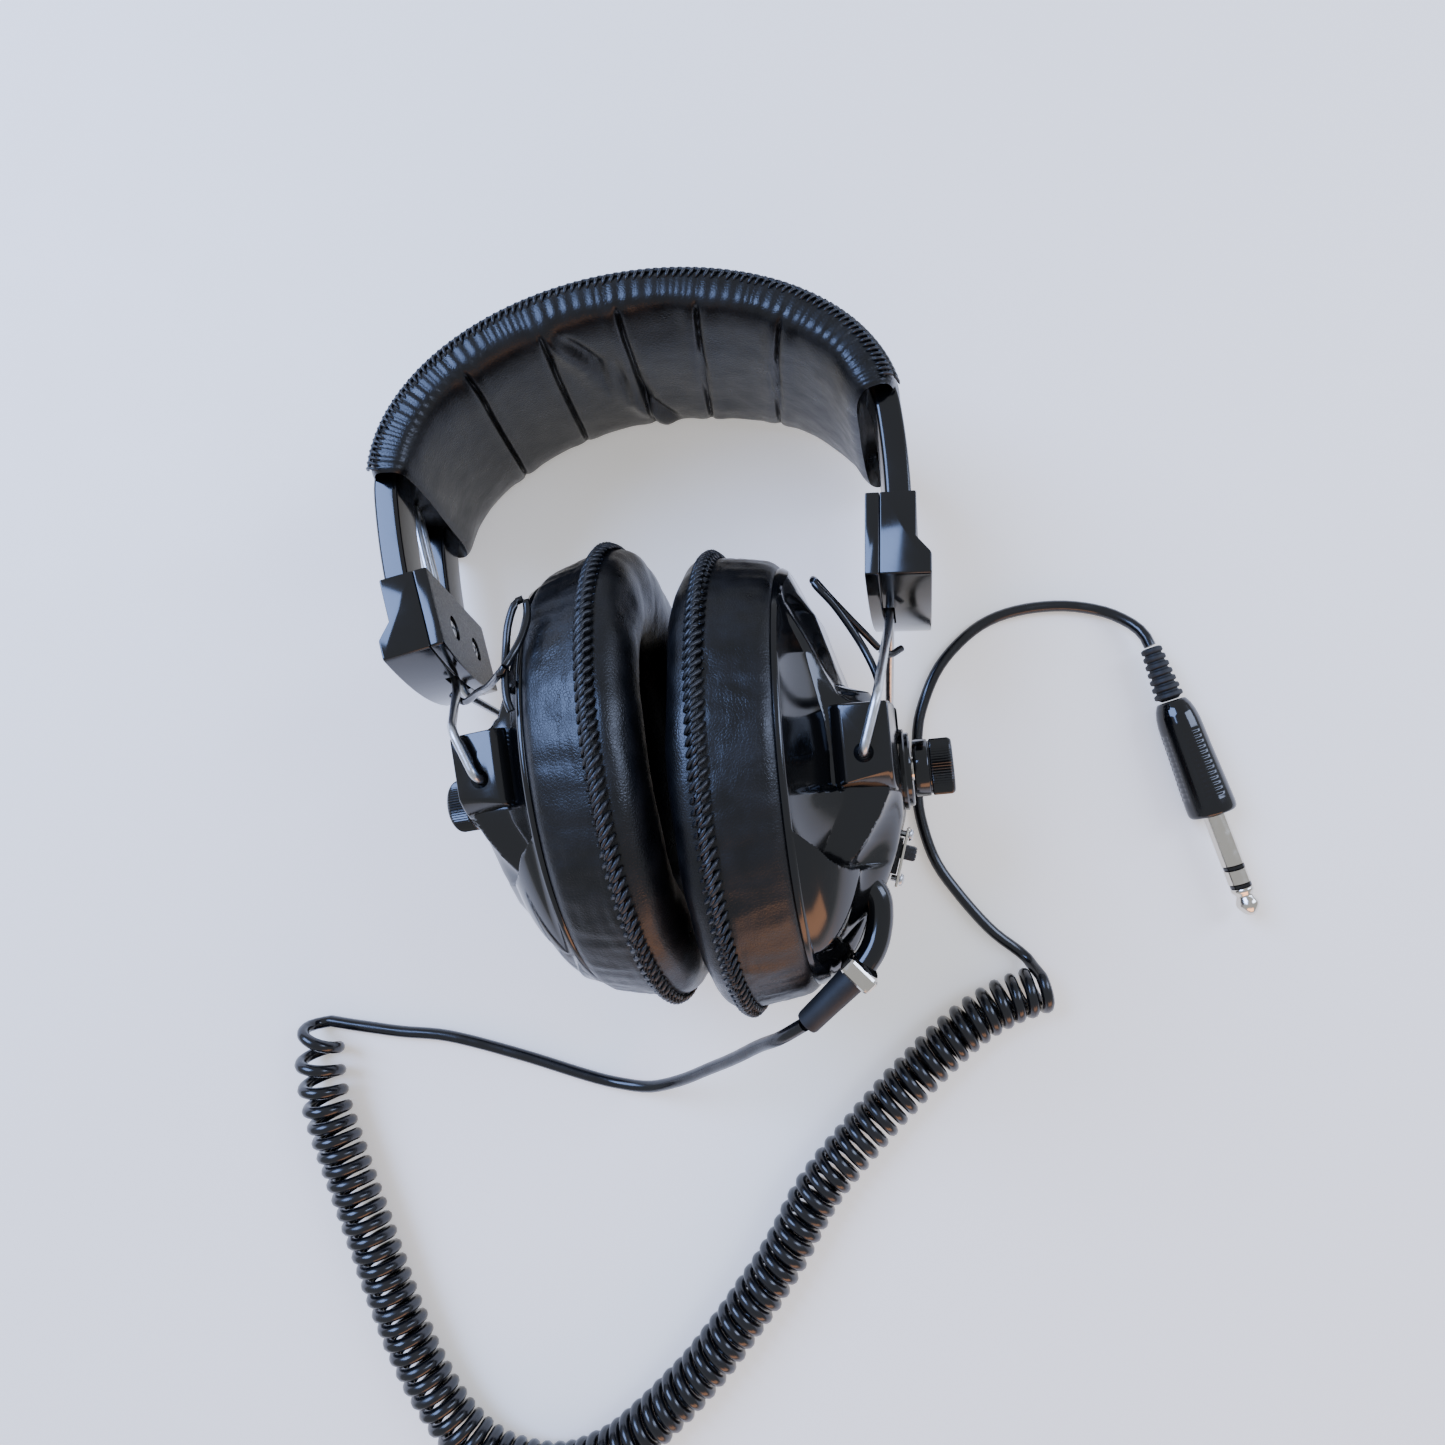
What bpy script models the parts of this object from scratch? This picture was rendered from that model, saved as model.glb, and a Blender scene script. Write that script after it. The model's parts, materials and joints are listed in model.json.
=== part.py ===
"""Radio headphones lying on their side: a sprung headband, two slider blocks on wire yokes, two cups
with volume knobs, a slide switch, and a curly cord with a 6.35 mm plug.

Metres, +Z up from the surface that they lie on."""

import math

import bmesh
import bpy
from mathutils import Euler, Matrix, Vector

MM = 0.001
GAP = 0.3 * MM  # left between pieces that touch
SIDES = {"right": 1, "left": -1}  # the side of the wearer's head is that of +X or -X
ENDS = {"near": 1, "far": -1}  # near is the upper edge as they lie

# How they lie: the band leans on its sleeve, and each cup is swivelled and rolled a little.
BAND_PLACE = Vector((-1.2, -31.5, 46.9)) * MM
BAND_LEAN = math.radians(-5.9)
BAND_SWIVEL = math.radians(-3.0)
CUP_SWIVEL = math.radians(-9.5)
CUP_ROLL = {"right": math.radians(-2.6), "left": math.radians(-1.3)}
SEAM_PLACE = {"right": Vector((12.4, -36.5, 47.2)) * MM, "left": Vector((-10.4, -30.5, 47.9)) * MM}

# Headband
BEAM_WIDTH = 12.5 * MM
BEAM_THICK = 6.4 * MM
BEAM_OFFSET = 20.5 * MM  # from the middle of the band to the middle of a beam
BAND_HALF_SPAN = 67.0 * MM
BAND_TOE = 0.085  # the far beam spans wider than the near one
BAND_SPRING_LINE = 78.0 * MM  # height of the arch's widest place above the cups' pivots
BAND_RISE = 43.5 * MM
LEG_CURVE = 2.4  # how fast a beam's leg closes in below the widest place, per metre
BLOCK_POCKET = 12.0 * MM  # length of beam that a block holds
SLEEVE_WIDTH = 65.0 * MM
SLEEVE_OUT = 5.6 * MM  # from the beams' middle line to the sleeve's outside
SLEEVE_IN = 9.0 * MM
SLEEVE_WALL = 1.5 * MM
SLEEVE_START = math.radians(5.0)
FOAM_THICK = 3.0 * MM
CROSSOVER_DIAMETER = 2.2 * MM

# Slider blocks
BLOCK_TOP = 55.5 * MM  # above the cups' pivots
BLOCK_HEIGHT = 21.0 * MM  # at the block's near and far ends
BLOCK_WIDTH = 54.0 * MM
BLOCK_INNER_THICK = 3.6 * MM
BLOCK_OUTER_THICK = 8.8 * MM
BLOCK_STEP = 3.6 * MM  # how far the outer half steps out in its lower third
BLOCK_BOW = 3.0 * MM  # how far the bottom bows down in the middle
BLOCK_LEAN = math.radians(9.0)
BLOCK_TWIST = math.radians(4.9)
SEAM_INSIDE = 4.0 * MM  # from the beams' middle line in to the seam between the halves
CHANNEL_WIDTH = 15.0 * MM
CHANNEL_DEPTH = 3.0 * MM
SCREW_SPACING = 21.0 * MM
SCREW_BELOW_TOP = 12.0 * MM
SCREW_HEAD_RADIUS = 2.6 * MM
SCREW_HEAD_DEPTH = 1.2 * MM
SCREW_RADIUS = 1.3 * MM
SCREW_LENGTH = 6.0 * MM

# Yokes
WIRE_DIAMETER = 2.3 * MM
LEG_SPACING = 6.4 * MM
HAIRPIN_ABOVE = 30.0 * MM  # the hairpin's top above the block
WIRE_STAND_OFF = 2.2 * MM  # the leg's middle line over the boss's face
WIRE_IN_BOSS = 4.0 * MM

# Cups, measured outwards from the pivot axis unless a line says otherwise
PIVOT_FROM_SEAM = 35.3 * MM
PIVOT_ABOVE_MIDDLE = 3.0 * MM
CUSHION_HALF = (59.0 * MM, 44.8 * MM)  # half height and half width
CUSHION_OPENING = (31.0 * MM, 20.0 * MM)
CUSHION_ROLL = 9.0 * MM  # from the seam to the head side
RIM_HALF = (53.8 * MM, 40.6 * MM)
RIM_DEPTH = 4.0 * MM
DOME_HALF = (45.5 * MM, 36.0 * MM)
DOME_FULLNESS = 1.3
SHELL_FRONT = -18.3 * MM
SHELL_OUTSIDE = 7.0 * MM
SHELL_WALL = 2.2 * MM
FLAT_HALF = (19.0 * MM, 11.5 * MM)  # the raised flat band round the knob
SCOOP_DEPTH = 5.0 * MM
BAFFLE_THICK = 2.4 * MM
SOUND_HOLE_RADIUS = 3.0 * MM
FOAM_DISC_THICK = 2.0 * MM
BOSS_SIZE = (11.5 * MM, 21.5 * MM, 15.0 * MM)
BOSS_MIDDLE = (1.7 * MM, 0.8 * MM)
BOSS_FACE = 27.0 * MM  # from the cup's middle to the boss's face
BOSS_BORE_DEPTH = 7.0 * MM
DRIVER_RADIUS = 20.0 * MM
DRIVER_DEPTH = 5.0 * MM
DRIVER_WALL = 1.4 * MM
MAGNET_RADIUS = 11.0 * MM
MAGNET_DEPTH = 4.0 * MM
CONE_RADIUS = 17.0 * MM
POT_RADIUS = 8.0 * MM
POT_DEPTH = 5.6 * MM
SHAFT_RADIUS = 3.0 * MM
SHAFT_LENGTH = 12.4 * MM
KNOB_BELOW_MIDDLE = 1.5 * MM
KNOB_RADIUS = 7.25 * MM
KNOB_LENGTH = 9.8 * MM
KNOB_SKIRT = 0.5 * MM  # the knob over the dial plate
DIAL_RADII = (10.4 * MM, 9.4 * MM)
DIAL_STEPS = (1.2 * MM, 1.4 * MM)
CAP_RADIUS = 5.6 * MM
CAP_THICK = 0.8 * MM

# Slide switch on the right cup
SWITCH_PLACE = Vector((4.9, -26.3, 0.0)) * MM
SWITCH_TILT = math.radians(-18.0)
SWITCH_PLATE = (0.7 * MM, 15.0 * MM, 8.0 * MM)
SWITCH_BODY = (5.0 * MM, 9.0 * MM, 6.4 * MM)
SWITCH_SLIDER = (5.2 * MM, 3.6 * MM, 4.4 * MM)
SWITCH_TRAVEL = 2.6 * MM
SWITCH_SCREW_SPACING = 11.6 * MM

# Cord, plug and link leads
CORD_DIAMETER = 3.5 * MM
COIL_DIAMETER = 14.4 * MM
LINK_DIAMETER = 2.0 * MM
GLAND_DIAMETER = 6.4 * MM
CLAMP_SIZE = (9.2 * MM, 9.2 * MM, 4.6 * MM)
CLAMP_WALL = 0.6 * MM
RUBBER_RADII = (3.7 * MM, 3.1 * MM)
RUBBER_ENDS = (Vector((36.5, -85.7, 66.5)) * MM, Vector((21.1, -97.9, 62.5)) * MM)
PLUG_TIP = Vector((155.3, -95.5, 7.1)) * MM
PLUG_BACK = Vector((139.6, -13.1, 7.1)) * MM  # where the cord enters the boot
PLUG_RADIUS = 3.175 * MM
INSULATOR_RADIUS = 3.0 * MM
GRIP_RADIUS = 6.9 * MM
BOOT_RADII = (2.9 * MM, 4.0 * MM)
BOOT_LENGTH = 17.2 * MM
BOOT_RIBS = 6
GRIP_LENGTH = 35.4 * MM
TIP_LENGTH = 8.6 * MM
INSULATOR_LENGTH = 1.2 * MM
RING_LENGTH = 4.4 * MM

# Routes, in millimetres
GLAND_ROUTE = ((34.0, -62.0, 63.0), (39.4, -65.2, 65.2), (42.4, -69.0, 66.0), (42.4, -73.8, 66.0),
               (41.0, -78.8, 66.2), (39.2, -82.1, 66.5), (37.1, -84.6, 66.4))
LEAD_ROUTE = ((20.5, -98.1, 62.1), (14.4, -101.6, 57.4), (8.6, -104.9, 48.6), (1.1, -109.9, 37.4),
              (-6.9, -114.5, 26.4), (-17.1, -119.8, 14.4), (-27.3, -122.6, 6.4),
              (-36.8, -121.4, 2.8), (-45.8, -118.4, 1.9), (-66.4, -109.3, 1.9),
              (-87.3, -101.2, 1.9), (-102.6, -97.8, 1.9), (-116.9, -94.9, 3.6))
COIL_ROUTE = ((-123.6, -92.0, 7.4), (-125.6, -100.5, 7.4), (-125.2, -114.8, 7.4),
              (-120.4, -135.7, 7.4), (-115.3, -155.8, 7.4), (-110.2, -176.0, 7.4),
              (-103.9, -195.2, 7.4), (-94.5, -212.8, 7.4), (-82.0, -223.0, 7.4),
              (-66.0, -227.0, 7.4), (-51.0, -223.5, 7.4), (-39.6, -216.8, 7.4),
              (-22.9, -204.1, 7.4), (-8.3, -189.8, 7.4), (5.6, -174.5, 7.4), (18.0, -158.0, 7.4),
              (33.1, -143.8, 7.4), (48.9, -130.5, 7.4), (65.9, -118.1, 7.4), (79.0, -111.6, 7.4),
              (92.0, -108.4, 7.4))
TAIL_ROUTE = ((91.4, -101.2, 2.4), (87.4, -97.6, 1.9), (80.3, -90.4, 1.9), (72.5, -78.6, 1.9),
              (67.1, -67.8, 1.9), (64.8, -55.3, 1.9), (65.0, -46.1, 1.9), (67.2, -31.2, 1.9),
              (69.9, -22.0, 1.9), (76.6, -10.4, 1.9), (85.6, -2.2, 1.9), (95.0, 2.7, 1.9),
              (106.1, 4.5, 1.9), (118.3, 3.7, 1.9), (129.0, 0.4, 2.3), (135.4, -4.2, 4.2),
              (138.4, -8.6, 6.4), (139.55, -12.8, 7.1))
LINK_ROUTES = {
    "right": ((60.6, -7.6, 43.0), (56.0, -9.0, 46.5), (50.4, -3.6, 52.0), (43.0, 4.6, 59.0),
              (38.6, 9.6, 64.0), (38.6, 7.6, 67.0), (42.6, 1.8, 66.6), (47.2, -7.4, 66.0),
              (49.6, -15.0, 67.4), (50.2, -19.6, 67.4)),
    "left": ((-61.8, -2.9, 44.0), (-58.0, -5.6, 45.6), (-51.1, -5.0, 56.0), (-44.4, -6.0, 70.0),
             (-37.9, -5.4, 83.4), (-35.7, -3.1, 83.4), (-33.9, -0.4, 82.6), (-32.3, 3.2, 80.6),
             (-31.1, 7.8, 78.4), (-31.4, 12.3, 77.0), (-33.8, 11.5, 77.6), (-35.8, 6.5, 78.6),
             (-36.8, 0.4, 79.6), (-37.1, -7.1, 82.6), (-36.8, -12.0, 84.2), (-36.1, -14.7, 84.4)),
}

FINISHES = {
    "gloss_abs": ((0.012, 0.014, 0.018), 0.12, 0.0),
    "texture_abs": ((0.022, 0.023, 0.026), 0.5, 0.0),
    "leatherette": ((0.014, 0.015, 0.018), 0.38, 0.0),
    "foam": ((0.03, 0.03, 0.032), 0.9, 0.0),
    "steel": ((0.62, 0.62, 0.63), 0.25, 1.0),
    "nickel": ((0.72, 0.70, 0.66), 0.2, 1.0),
    "rubber": ((0.018, 0.018, 0.02), 0.6, 0.0),
    "cord": ((0.013, 0.014, 0.018), 0.22, 0.0),
    "grey_cap": ((0.20, 0.20, 0.20), 0.4, 0.3),
    "ferrite": ((0.06, 0.06, 0.065), 0.6, 0.0),
    "paper_cone": ((0.05, 0.048, 0.045), 0.85, 0.0),
}


def start_scene():
    for obj in list(bpy.data.objects):
        bpy.data.objects.remove(obj)
    made = {}
    for name in ("radio_headphones", "cutters"):
        made[name] = bpy.data.collections.new(name)
        bpy.context.scene.collection.children.link(made[name])
    made["cutters"].hide_render = True
    return made


COLLECTIONS = start_scene()


def make_material(name):
    colour, roughness, metallic = FINISHES[name]
    made = bpy.data.materials.new(name)
    made.use_nodes = True
    shader = made.node_tree.nodes["Principled BSDF"]
    shader.inputs["Base Color"].default_value = (*colour, 1)
    shader.inputs["Roughness"].default_value = roughness
    shader.inputs["Metallic"].default_value = metallic
    return made


MATERIALS = {name: make_material(name) for name in FINISHES}


def empty(name, place):
    made = bpy.data.objects.new(name, None)
    made.matrix_world = place
    COLLECTIONS["radio_headphones"].objects.link(made)
    return made


def add(name, data, parent, finish, place=Matrix.Identity(4)):
    """One piece, placed in its parent's frame."""
    made = bpy.data.objects.new(name, data)
    COLLECTIONS["radio_headphones"].objects.link(made)
    made.parent = parent
    made.matrix_local = place
    if not data.materials:
        data.materials.append(MATERIALS[finish])
    if isinstance(data, bpy.types.Mesh):
        data.shade_smooth()
        data.set_sharp_from_angle(angle=math.radians(35))
    return made


def to_cutter(obj):
    for collection in list(obj.users_collection):
        collection.objects.unlink(obj)
    COLLECTIONS["cutters"].objects.link(obj)
    obj.hide_render = True
    obj.display_type = "WIRE"
    return obj


def box_mesh(size):
    made = bpy.data.meshes.new("box")
    bm = bmesh.new()
    bmesh.ops.create_cube(bm, size=1.0)
    bmesh.ops.scale(bm, vec=Vector(size), verts=bm.verts)
    bm.to_mesh(made)
    bm.free()
    return made


def rod_mesh(radius, depth, segments=24, top_radius=None):
    """A cylinder or cone along +X, from x = 0 to x = depth."""
    made = bpy.data.meshes.new("rod")
    bm = bmesh.new()
    top = radius if top_radius is None else top_radius
    bmesh.ops.create_cone(bm, cap_ends=True, segments=segments, radius1=radius, radius2=top, depth=depth)
    bmesh.ops.translate(bm, vec=(0, 0, depth / 2), verts=bm.verts)
    bmesh.ops.rotate(bm, matrix=Matrix.Rotation(math.pi / 2, 3, "Y"), verts=bm.verts)
    bm.to_mesh(made)
    bm.free()
    return made


def rounded(obj, width, segments=2):
    bevel = obj.modifiers.new("edges", "BEVEL")
    bevel.width = width
    bevel.segments = segments
    bevel.limit_method = "ANGLE"
    bevel.angle_limit = math.radians(40)
    return obj


def cut(obj, cutter, operation="DIFFERENCE"):
    boolean = obj.modifiers.new(operation.lower(), "BOOLEAN")
    boolean.operation = operation
    boolean.object = to_cutter(cutter)
    return obj


def turned(name, profile, parent, finish, place=Matrix.Identity(4), steps=24, stretch=(1.0, 1.0)):
    """A profile of (radius, distance along +X) points, turned about X and stretched in Y and Z.

    It runs from its outermost X inwards along its outer side. One that starts off the axis is a ring."""
    made = bpy.data.meshes.new(name)
    points = [(radius, 0.0, along) for radius, along in profile]
    edges = [(i, i + 1) for i in range(len(points) - 1)]
    if profile[0][0] > 0:
        edges.append((len(points) - 1, 0))
    made.from_pydata(points, edges, [])
    turn = Matrix.Rotation(math.pi / 2, 4, "Y")
    scale = Matrix.Diagonal((1.0, stretch[0], stretch[1], 1.0))
    obj = add(name, made, parent, finish, place @ scale @ turn)
    screw = obj.modifiers.new("turn", "SCREW")
    screw.steps = screw.render_steps = steps
    screw.use_merge_vertices = True
    screw.merge_threshold = 0.01 * MM
    screw.use_smooth_shade = True
    return obj


def tube(name, points, diameter, parent, finish, resolution=2):
    """A round tube through points given in its parent's frame."""
    made = bpy.data.curves.new(name, "CURVE")
    made.dimensions = "3D"
    made.bevel_depth = diameter / 2
    made.bevel_resolution = resolution
    made.use_fill_caps = True
    spline = made.splines.new("POLY")
    spline.points.add(len(points) - 1)
    for point, place in zip(spline.points, points):
        point.co = (*place, 1)
    return add(name, made, parent, finish)


def extruded(name, outlines, width, parent, finish, place=Matrix.Identity(4)):
    """A flat outline in XY, given as one or more closed loops, thickened both ways along Z."""
    made = bpy.data.curves.new(name, "CURVE")
    made.dimensions = "2D"
    made.fill_mode = "BOTH"
    made.extrude = width / 2
    for outline in outlines:
        spline = made.splines.new("POLY")
        spline.points.add(len(outline) - 1)
        for point, place_xy in zip(spline.points, outline):
            point.co = (place_xy[0], place_xy[1], 0, 1)
        spline.use_cyclic_u = True
    return to_mesh(add(name, made, parent, finish, place))


def to_mesh(obj):
    """The curve object as a mesh object of the same name and place, with its caps welded."""
    graph = bpy.context.evaluated_depsgraph_get()
    made = bpy.data.meshes.new_from_object(obj.evaluated_get(graph))
    bm = bmesh.new()
    bm.from_mesh(made)
    bmesh.ops.remove_doubles(bm, verts=bm.verts, dist=0.001 * MM)
    bmesh.ops.recalc_face_normals(bm, faces=bm.faces)
    bm.to_mesh(made)
    bm.free()
    name, parent, place = obj.name, obj.parent, obj.matrix_local.copy()
    finish = obj.data.materials[0].name
    bpy.data.objects.remove(obj)
    made.materials.clear()
    return add(name, made, parent, finish, place)


def lofted(name, rings, parent, finish, closed=False, place=Matrix.Identity(4)):
    """Faces between rings of points; the first and last are capped, or joined to each other when closed."""
    made = bpy.data.meshes.new(name)
    bm = bmesh.new()
    loops = [[bm.verts.new(point) for point in ring] for ring in rings]
    pairs = list(zip(loops, loops[1:]))
    if closed:
        pairs.append((loops[-1], loops[0]))
    else:
        bm.faces.new(loops[0])
        bm.faces.new(loops[-1])
    for one, two in pairs:
        for i in range(len(one)):
            j = (i + 1) % len(one)
            bm.faces.new((one[i], one[j], two[j], two[i]))
    bmesh.ops.recalc_face_normals(bm, faces=bm.faces)
    bm.to_mesh(made)
    bm.free()
    return add(name, made, parent, finish, place)


def with_round_corners(points, radius, steps=3):
    """The same open line with each corner replaced by a smooth bend."""
    points = [Vector(point) for point in points]
    made = [points[0]]
    for before, corner, after in zip(points, points[1:], points[2:]):
        inward, outward = before - corner, after - corner
        reach = min(radius, 0.45 * inward.length, 0.45 * outward.length)
        start = corner + inward.normalized() * reach
        end = corner + outward.normalized() * reach
        for i in range(steps + 1):
            t = i / steps
            made.append(start * (1 - t) ** 2 + corner * 2 * t * (1 - t) + end * t**2)
    made.append(points[-1])
    return made


def smooth_line(points, step):
    """Points about one step apart on a smooth curve through the given ones."""
    points = [Vector(point) for point in points]
    held = [points[0] * 2 - points[1], *points, points[-1] * 2 - points[-2]]
    fine = []
    for a, b, c, d in zip(held, held[1:], held[2:], held[3:]):
        for i in range(24):
            t = i / 24
            straight = 2 * b + (c - a) * t
            bent = (2 * a - 5 * b + 4 * c - d) * t**2 + (3 * b - a - 3 * c + d) * t**3
            fine.append(0.5 * (straight + bent))
    fine.append(points[-1])
    count = max(2, round(line_length(fine) / step))
    return evenly(fine, count)


def line_length(points):
    return sum((b - a).length for a, b in zip(points, points[1:]))


def evenly(points, count):
    """The line again as count + 1 points at even distances."""
    whole = line_length(points)
    made, gone, goal = [points[0]], 0.0, whole / count
    for a, b in zip(points, points[1:]):
        step = (b - a).length
        while gone + step >= goal - 1e-12 and len(made) < count:
            made.append(a.lerp(b, (goal - gone) / step))
            goal = whole / count * len(made)
        gone += step
    made.append(points[-1])
    return made


# frames
def at(place, *turns):
    matrix = Matrix.Translation(place)
    for angle, axis in turns:
        matrix = matrix @ Matrix.Rotation(angle, 4, axis)
    return matrix


def cup_matrix(side):
    """The cup's frame: origin on its pivot axis, +X outwards, +Y to the headband, Z along the pivot axis."""
    turn = at((0, 0, 0), (CUP_SWIVEL, "Y"), (math.pi if side == "left" else 0.0, "Y"), (CUP_ROLL[side], "Z"))
    seam_to_pivot = turn @ Vector((PIVOT_FROM_SEAM, PIVOT_ABOVE_MIDDLE, 0))
    return Matrix.Translation(SEAM_PLACE[side] + seam_to_pivot) @ turn


BAND = empty("headband_frame", at(BAND_PLACE, (BAND_LEAN, "X"), (BAND_SWIVEL, "Y")))
CUPS = {side: empty(f"cup_{side}_frame", cup_matrix(side)) for side in SIDES}
MIDDLE = Vector((0, -PIVOT_ABOVE_MIDDLE, 0))  # the cup's middle in its own frame


# headband
def band_point(turn, half_span):
    """A point of the beams' middle line, turn counted from the right spring line over the top."""
    return Vector((half_span * math.cos(turn), BAND_SPRING_LINE + BAND_RISE * math.sin(turn)))


def leg_x(height, half_span):
    below = max(0.0, BAND_SPRING_LINE - height)
    return half_span - LEG_CURVE * below**2


def band_line(half_span, bottom, steps=36, legs=6):
    """The middle line from the right leg's end over the arch to the left one's."""
    heights = [bottom + (BAND_SPRING_LINE - bottom) * i / legs for i in range(legs)]
    right = [Vector((leg_x(height, half_span), height)) for height in heights]
    arch = [band_point(math.pi * i / steps, half_span) for i in range(steps + 1)]
    left = [Vector((-point.x, point.y)) for point in reversed(right)]
    return right + arch + left


def arch_part(half_span, start, steps=36):
    turns = [start + (math.pi - 2 * start) * i / steps for i in range(steps + 1)]
    return [band_point(turn, half_span) for turn in turns]


def offset_outline(line, outside, inside):
    """The closed outline of a strip round a line that runs anticlockwise over the arch."""
    outer, inner = [], []
    for i, point in enumerate(line):
        before, after = line[max(0, i - 1)], line[min(len(line) - 1, i + 1)]
        along = (after - before).normalized()
        normal = Vector((along.y, -along.x))
        outer.append(point + normal * outside)
        inner.append(point - normal * inside)
    return outer + inner[::-1]


def half_span_at(offset):
    return BAND_HALF_SPAN - BAND_TOE * offset


def make_beams():
    bottom = BLOCK_TOP - BLOCK_POCKET
    for end, sign in ENDS.items():
        line = band_line(half_span_at(sign * BEAM_OFFSET), bottom)
        outline = offset_outline(line, BEAM_THICK / 2, BEAM_THICK / 2)
        place = Matrix.Translation((0, 0, sign * BEAM_OFFSET))
        extruded(f"headband_beam_{end}", [outline], BEAM_WIDTH, BAND, "gloss_abs", place)


def sleeve_ring(turn, out, inside, width):
    """One cross-section of the sleeve: its near side spans less than its far side."""
    corners = ((out, -1), (out, 1), (-inside, 1), (-inside, -1))
    made = []
    for distance, sign in corners:
        point = band_point(turn, half_span_at(sign * width / 2))
        normal = Vector((math.cos(turn) * BAND_RISE, math.sin(turn) * half_span_at(0))).normalized()
        place = point + normal * distance
        made.append(Vector((place.x, place.y, sign * width / 2)))
    return made


def make_sleeve():
    steps = 30
    turns = [SLEEVE_START + (math.pi - 2 * SLEEVE_START) * i / steps for i in range(steps + 1)]
    past = math.radians(1.5)
    inner_turns = [turns[0] - past, *turns[1:-1], turns[-1] + past]
    outside = [sleeve_ring(turn, SLEEVE_OUT, SLEEVE_IN, SLEEVE_WIDTH) for turn in turns]
    sleeve = lofted("headband_sleeve", outside, BAND, "leatherette")
    room = (SLEEVE_OUT - SLEEVE_WALL, SLEEVE_IN - SLEEVE_WALL, SLEEVE_WIDTH - 2 * SLEEVE_WALL)
    inside = [sleeve_ring(turn, *room) for turn in inner_turns]
    cut(sleeve, lofted("sleeve_hollow", inside, BAND, "leatherette"))
    foam_out = -(BEAM_THICK / 2 + 2 * GAP)
    foam_width = SLEEVE_WIDTH - 2 * SLEEVE_WALL - 2 * GAP
    foam_turns = [turns[1] + (turns[-2] - turns[1]) * i / steps for i in range(steps + 1)]
    lofted(
        "headband_foam",
        [sleeve_ring(turn, foam_out, -foam_out + FOAM_THICK, foam_width) for turn in foam_turns],
        BAND,
        "foam",
    )


def make_crossover_lead():
    """The lead from one cup's block to the other's, between the beams."""
    across = 11.0 * MM
    line = band_line(half_span_at(across), BLOCK_TOP + 2 * GAP)
    raised = [Vector((point.x, point.y, across)) for point in line]
    tube("crossover_lead", evenly(raised, 40), CROSSOVER_DIAMETER, BAND, "cord")


# slider blocks and yokes
def block_matrix(side):
    """The block's frame in the band's: origin at its top on the beams' middle line, +X outwards, +Y up."""
    sign = SIDES[side]
    x = sign * leg_x(BLOCK_TOP, BAND_HALF_SPAN)
    turned_round = math.pi if side == "left" else 0.0
    return at((x, BLOCK_TOP, 0), (turned_round, "Y"), (-BLOCK_LEAN, "Z"), (-sign * BLOCK_TWIST, "Y"))


def block_bottom(across):
    return -BLOCK_HEIGHT - BLOCK_BOW * (1 - (2 * across / BLOCK_WIDTH) ** 2)


def block_ring(across, half):
    """One section of a block half, across the band's width."""
    bottom = block_bottom(across)
    if half == "inner":
        outline = ((-SEAM_INSIDE - BLOCK_INNER_THICK, 0), (-SEAM_INSIDE - GAP, 0))
        outline += ((-SEAM_INSIDE - GAP, bottom), (-SEAM_INSIDE - BLOCK_INNER_THICK, bottom))
    else:
        outside = BLOCK_OUTER_THICK - SEAM_INSIDE
        outline = ((-SEAM_INSIDE, 0), (outside, 0), (outside, -0.56 * BLOCK_HEIGHT))
        outline += ((outside + BLOCK_STEP, -0.76 * BLOCK_HEIGHT), (outside + BLOCK_STEP, bottom))
        outline += ((-SEAM_INSIDE, bottom),)
    return [Vector((x, y, across)) for x, y in outline]


def beam_pocket(side, end, parent):
    """The room that a beam's end takes in both halves of a block."""
    sign = ENDS[end]
    line = band_line(half_span_at(sign * BEAM_OFFSET), BLOCK_TOP - BLOCK_POCKET - GAP)
    ends = line[:9] if side == "right" else line[-9:]
    outline = offset_outline(ends, BEAM_THICK / 2 + GAP, BEAM_THICK / 2 + GAP)
    place = Matrix.Translation((0, 0, sign * BEAM_OFFSET))
    return extruded(f"pocket_{side}_{end}", [outline], BEAM_WIDTH + 2 * GAP, parent, "gloss_abs", place)


def make_block(side):
    place = block_matrix(side)
    steps = 8
    places = [-BLOCK_WIDTH / 2 + BLOCK_WIDTH * i / steps for i in range(steps + 1)]
    halves = {}
    for half in ("inner", "outer"):
        rings = [block_ring(across, half) for across in places]
        halves[half] = lofted(f"block_{half}_{side}", rings, BAND, "texture_abs", place=place)
    for end in ENDS:
        cut(halves["outer"], beam_pocket(side, end, BAND))
        cut(halves["inner"], beam_pocket(side, end, BAND))
    tall = 2 * (BLOCK_HEIGHT + BLOCK_BOW)
    channel = box_mesh((CHANNEL_DEPTH + GAP, 2 * tall, CHANNEL_WIDTH))
    at_channel = Matrix.Translation((-SEAM_INSIDE + (CHANNEL_DEPTH - GAP) / 2, 0, 0))
    cut(halves["outer"], add(f"channel_{side}", channel, BAND, "gloss_abs", place @ at_channel))
    for number, sign in enumerate((1, -1), 1):
        make_block_screw(side, number, sign, halves, place)


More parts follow.
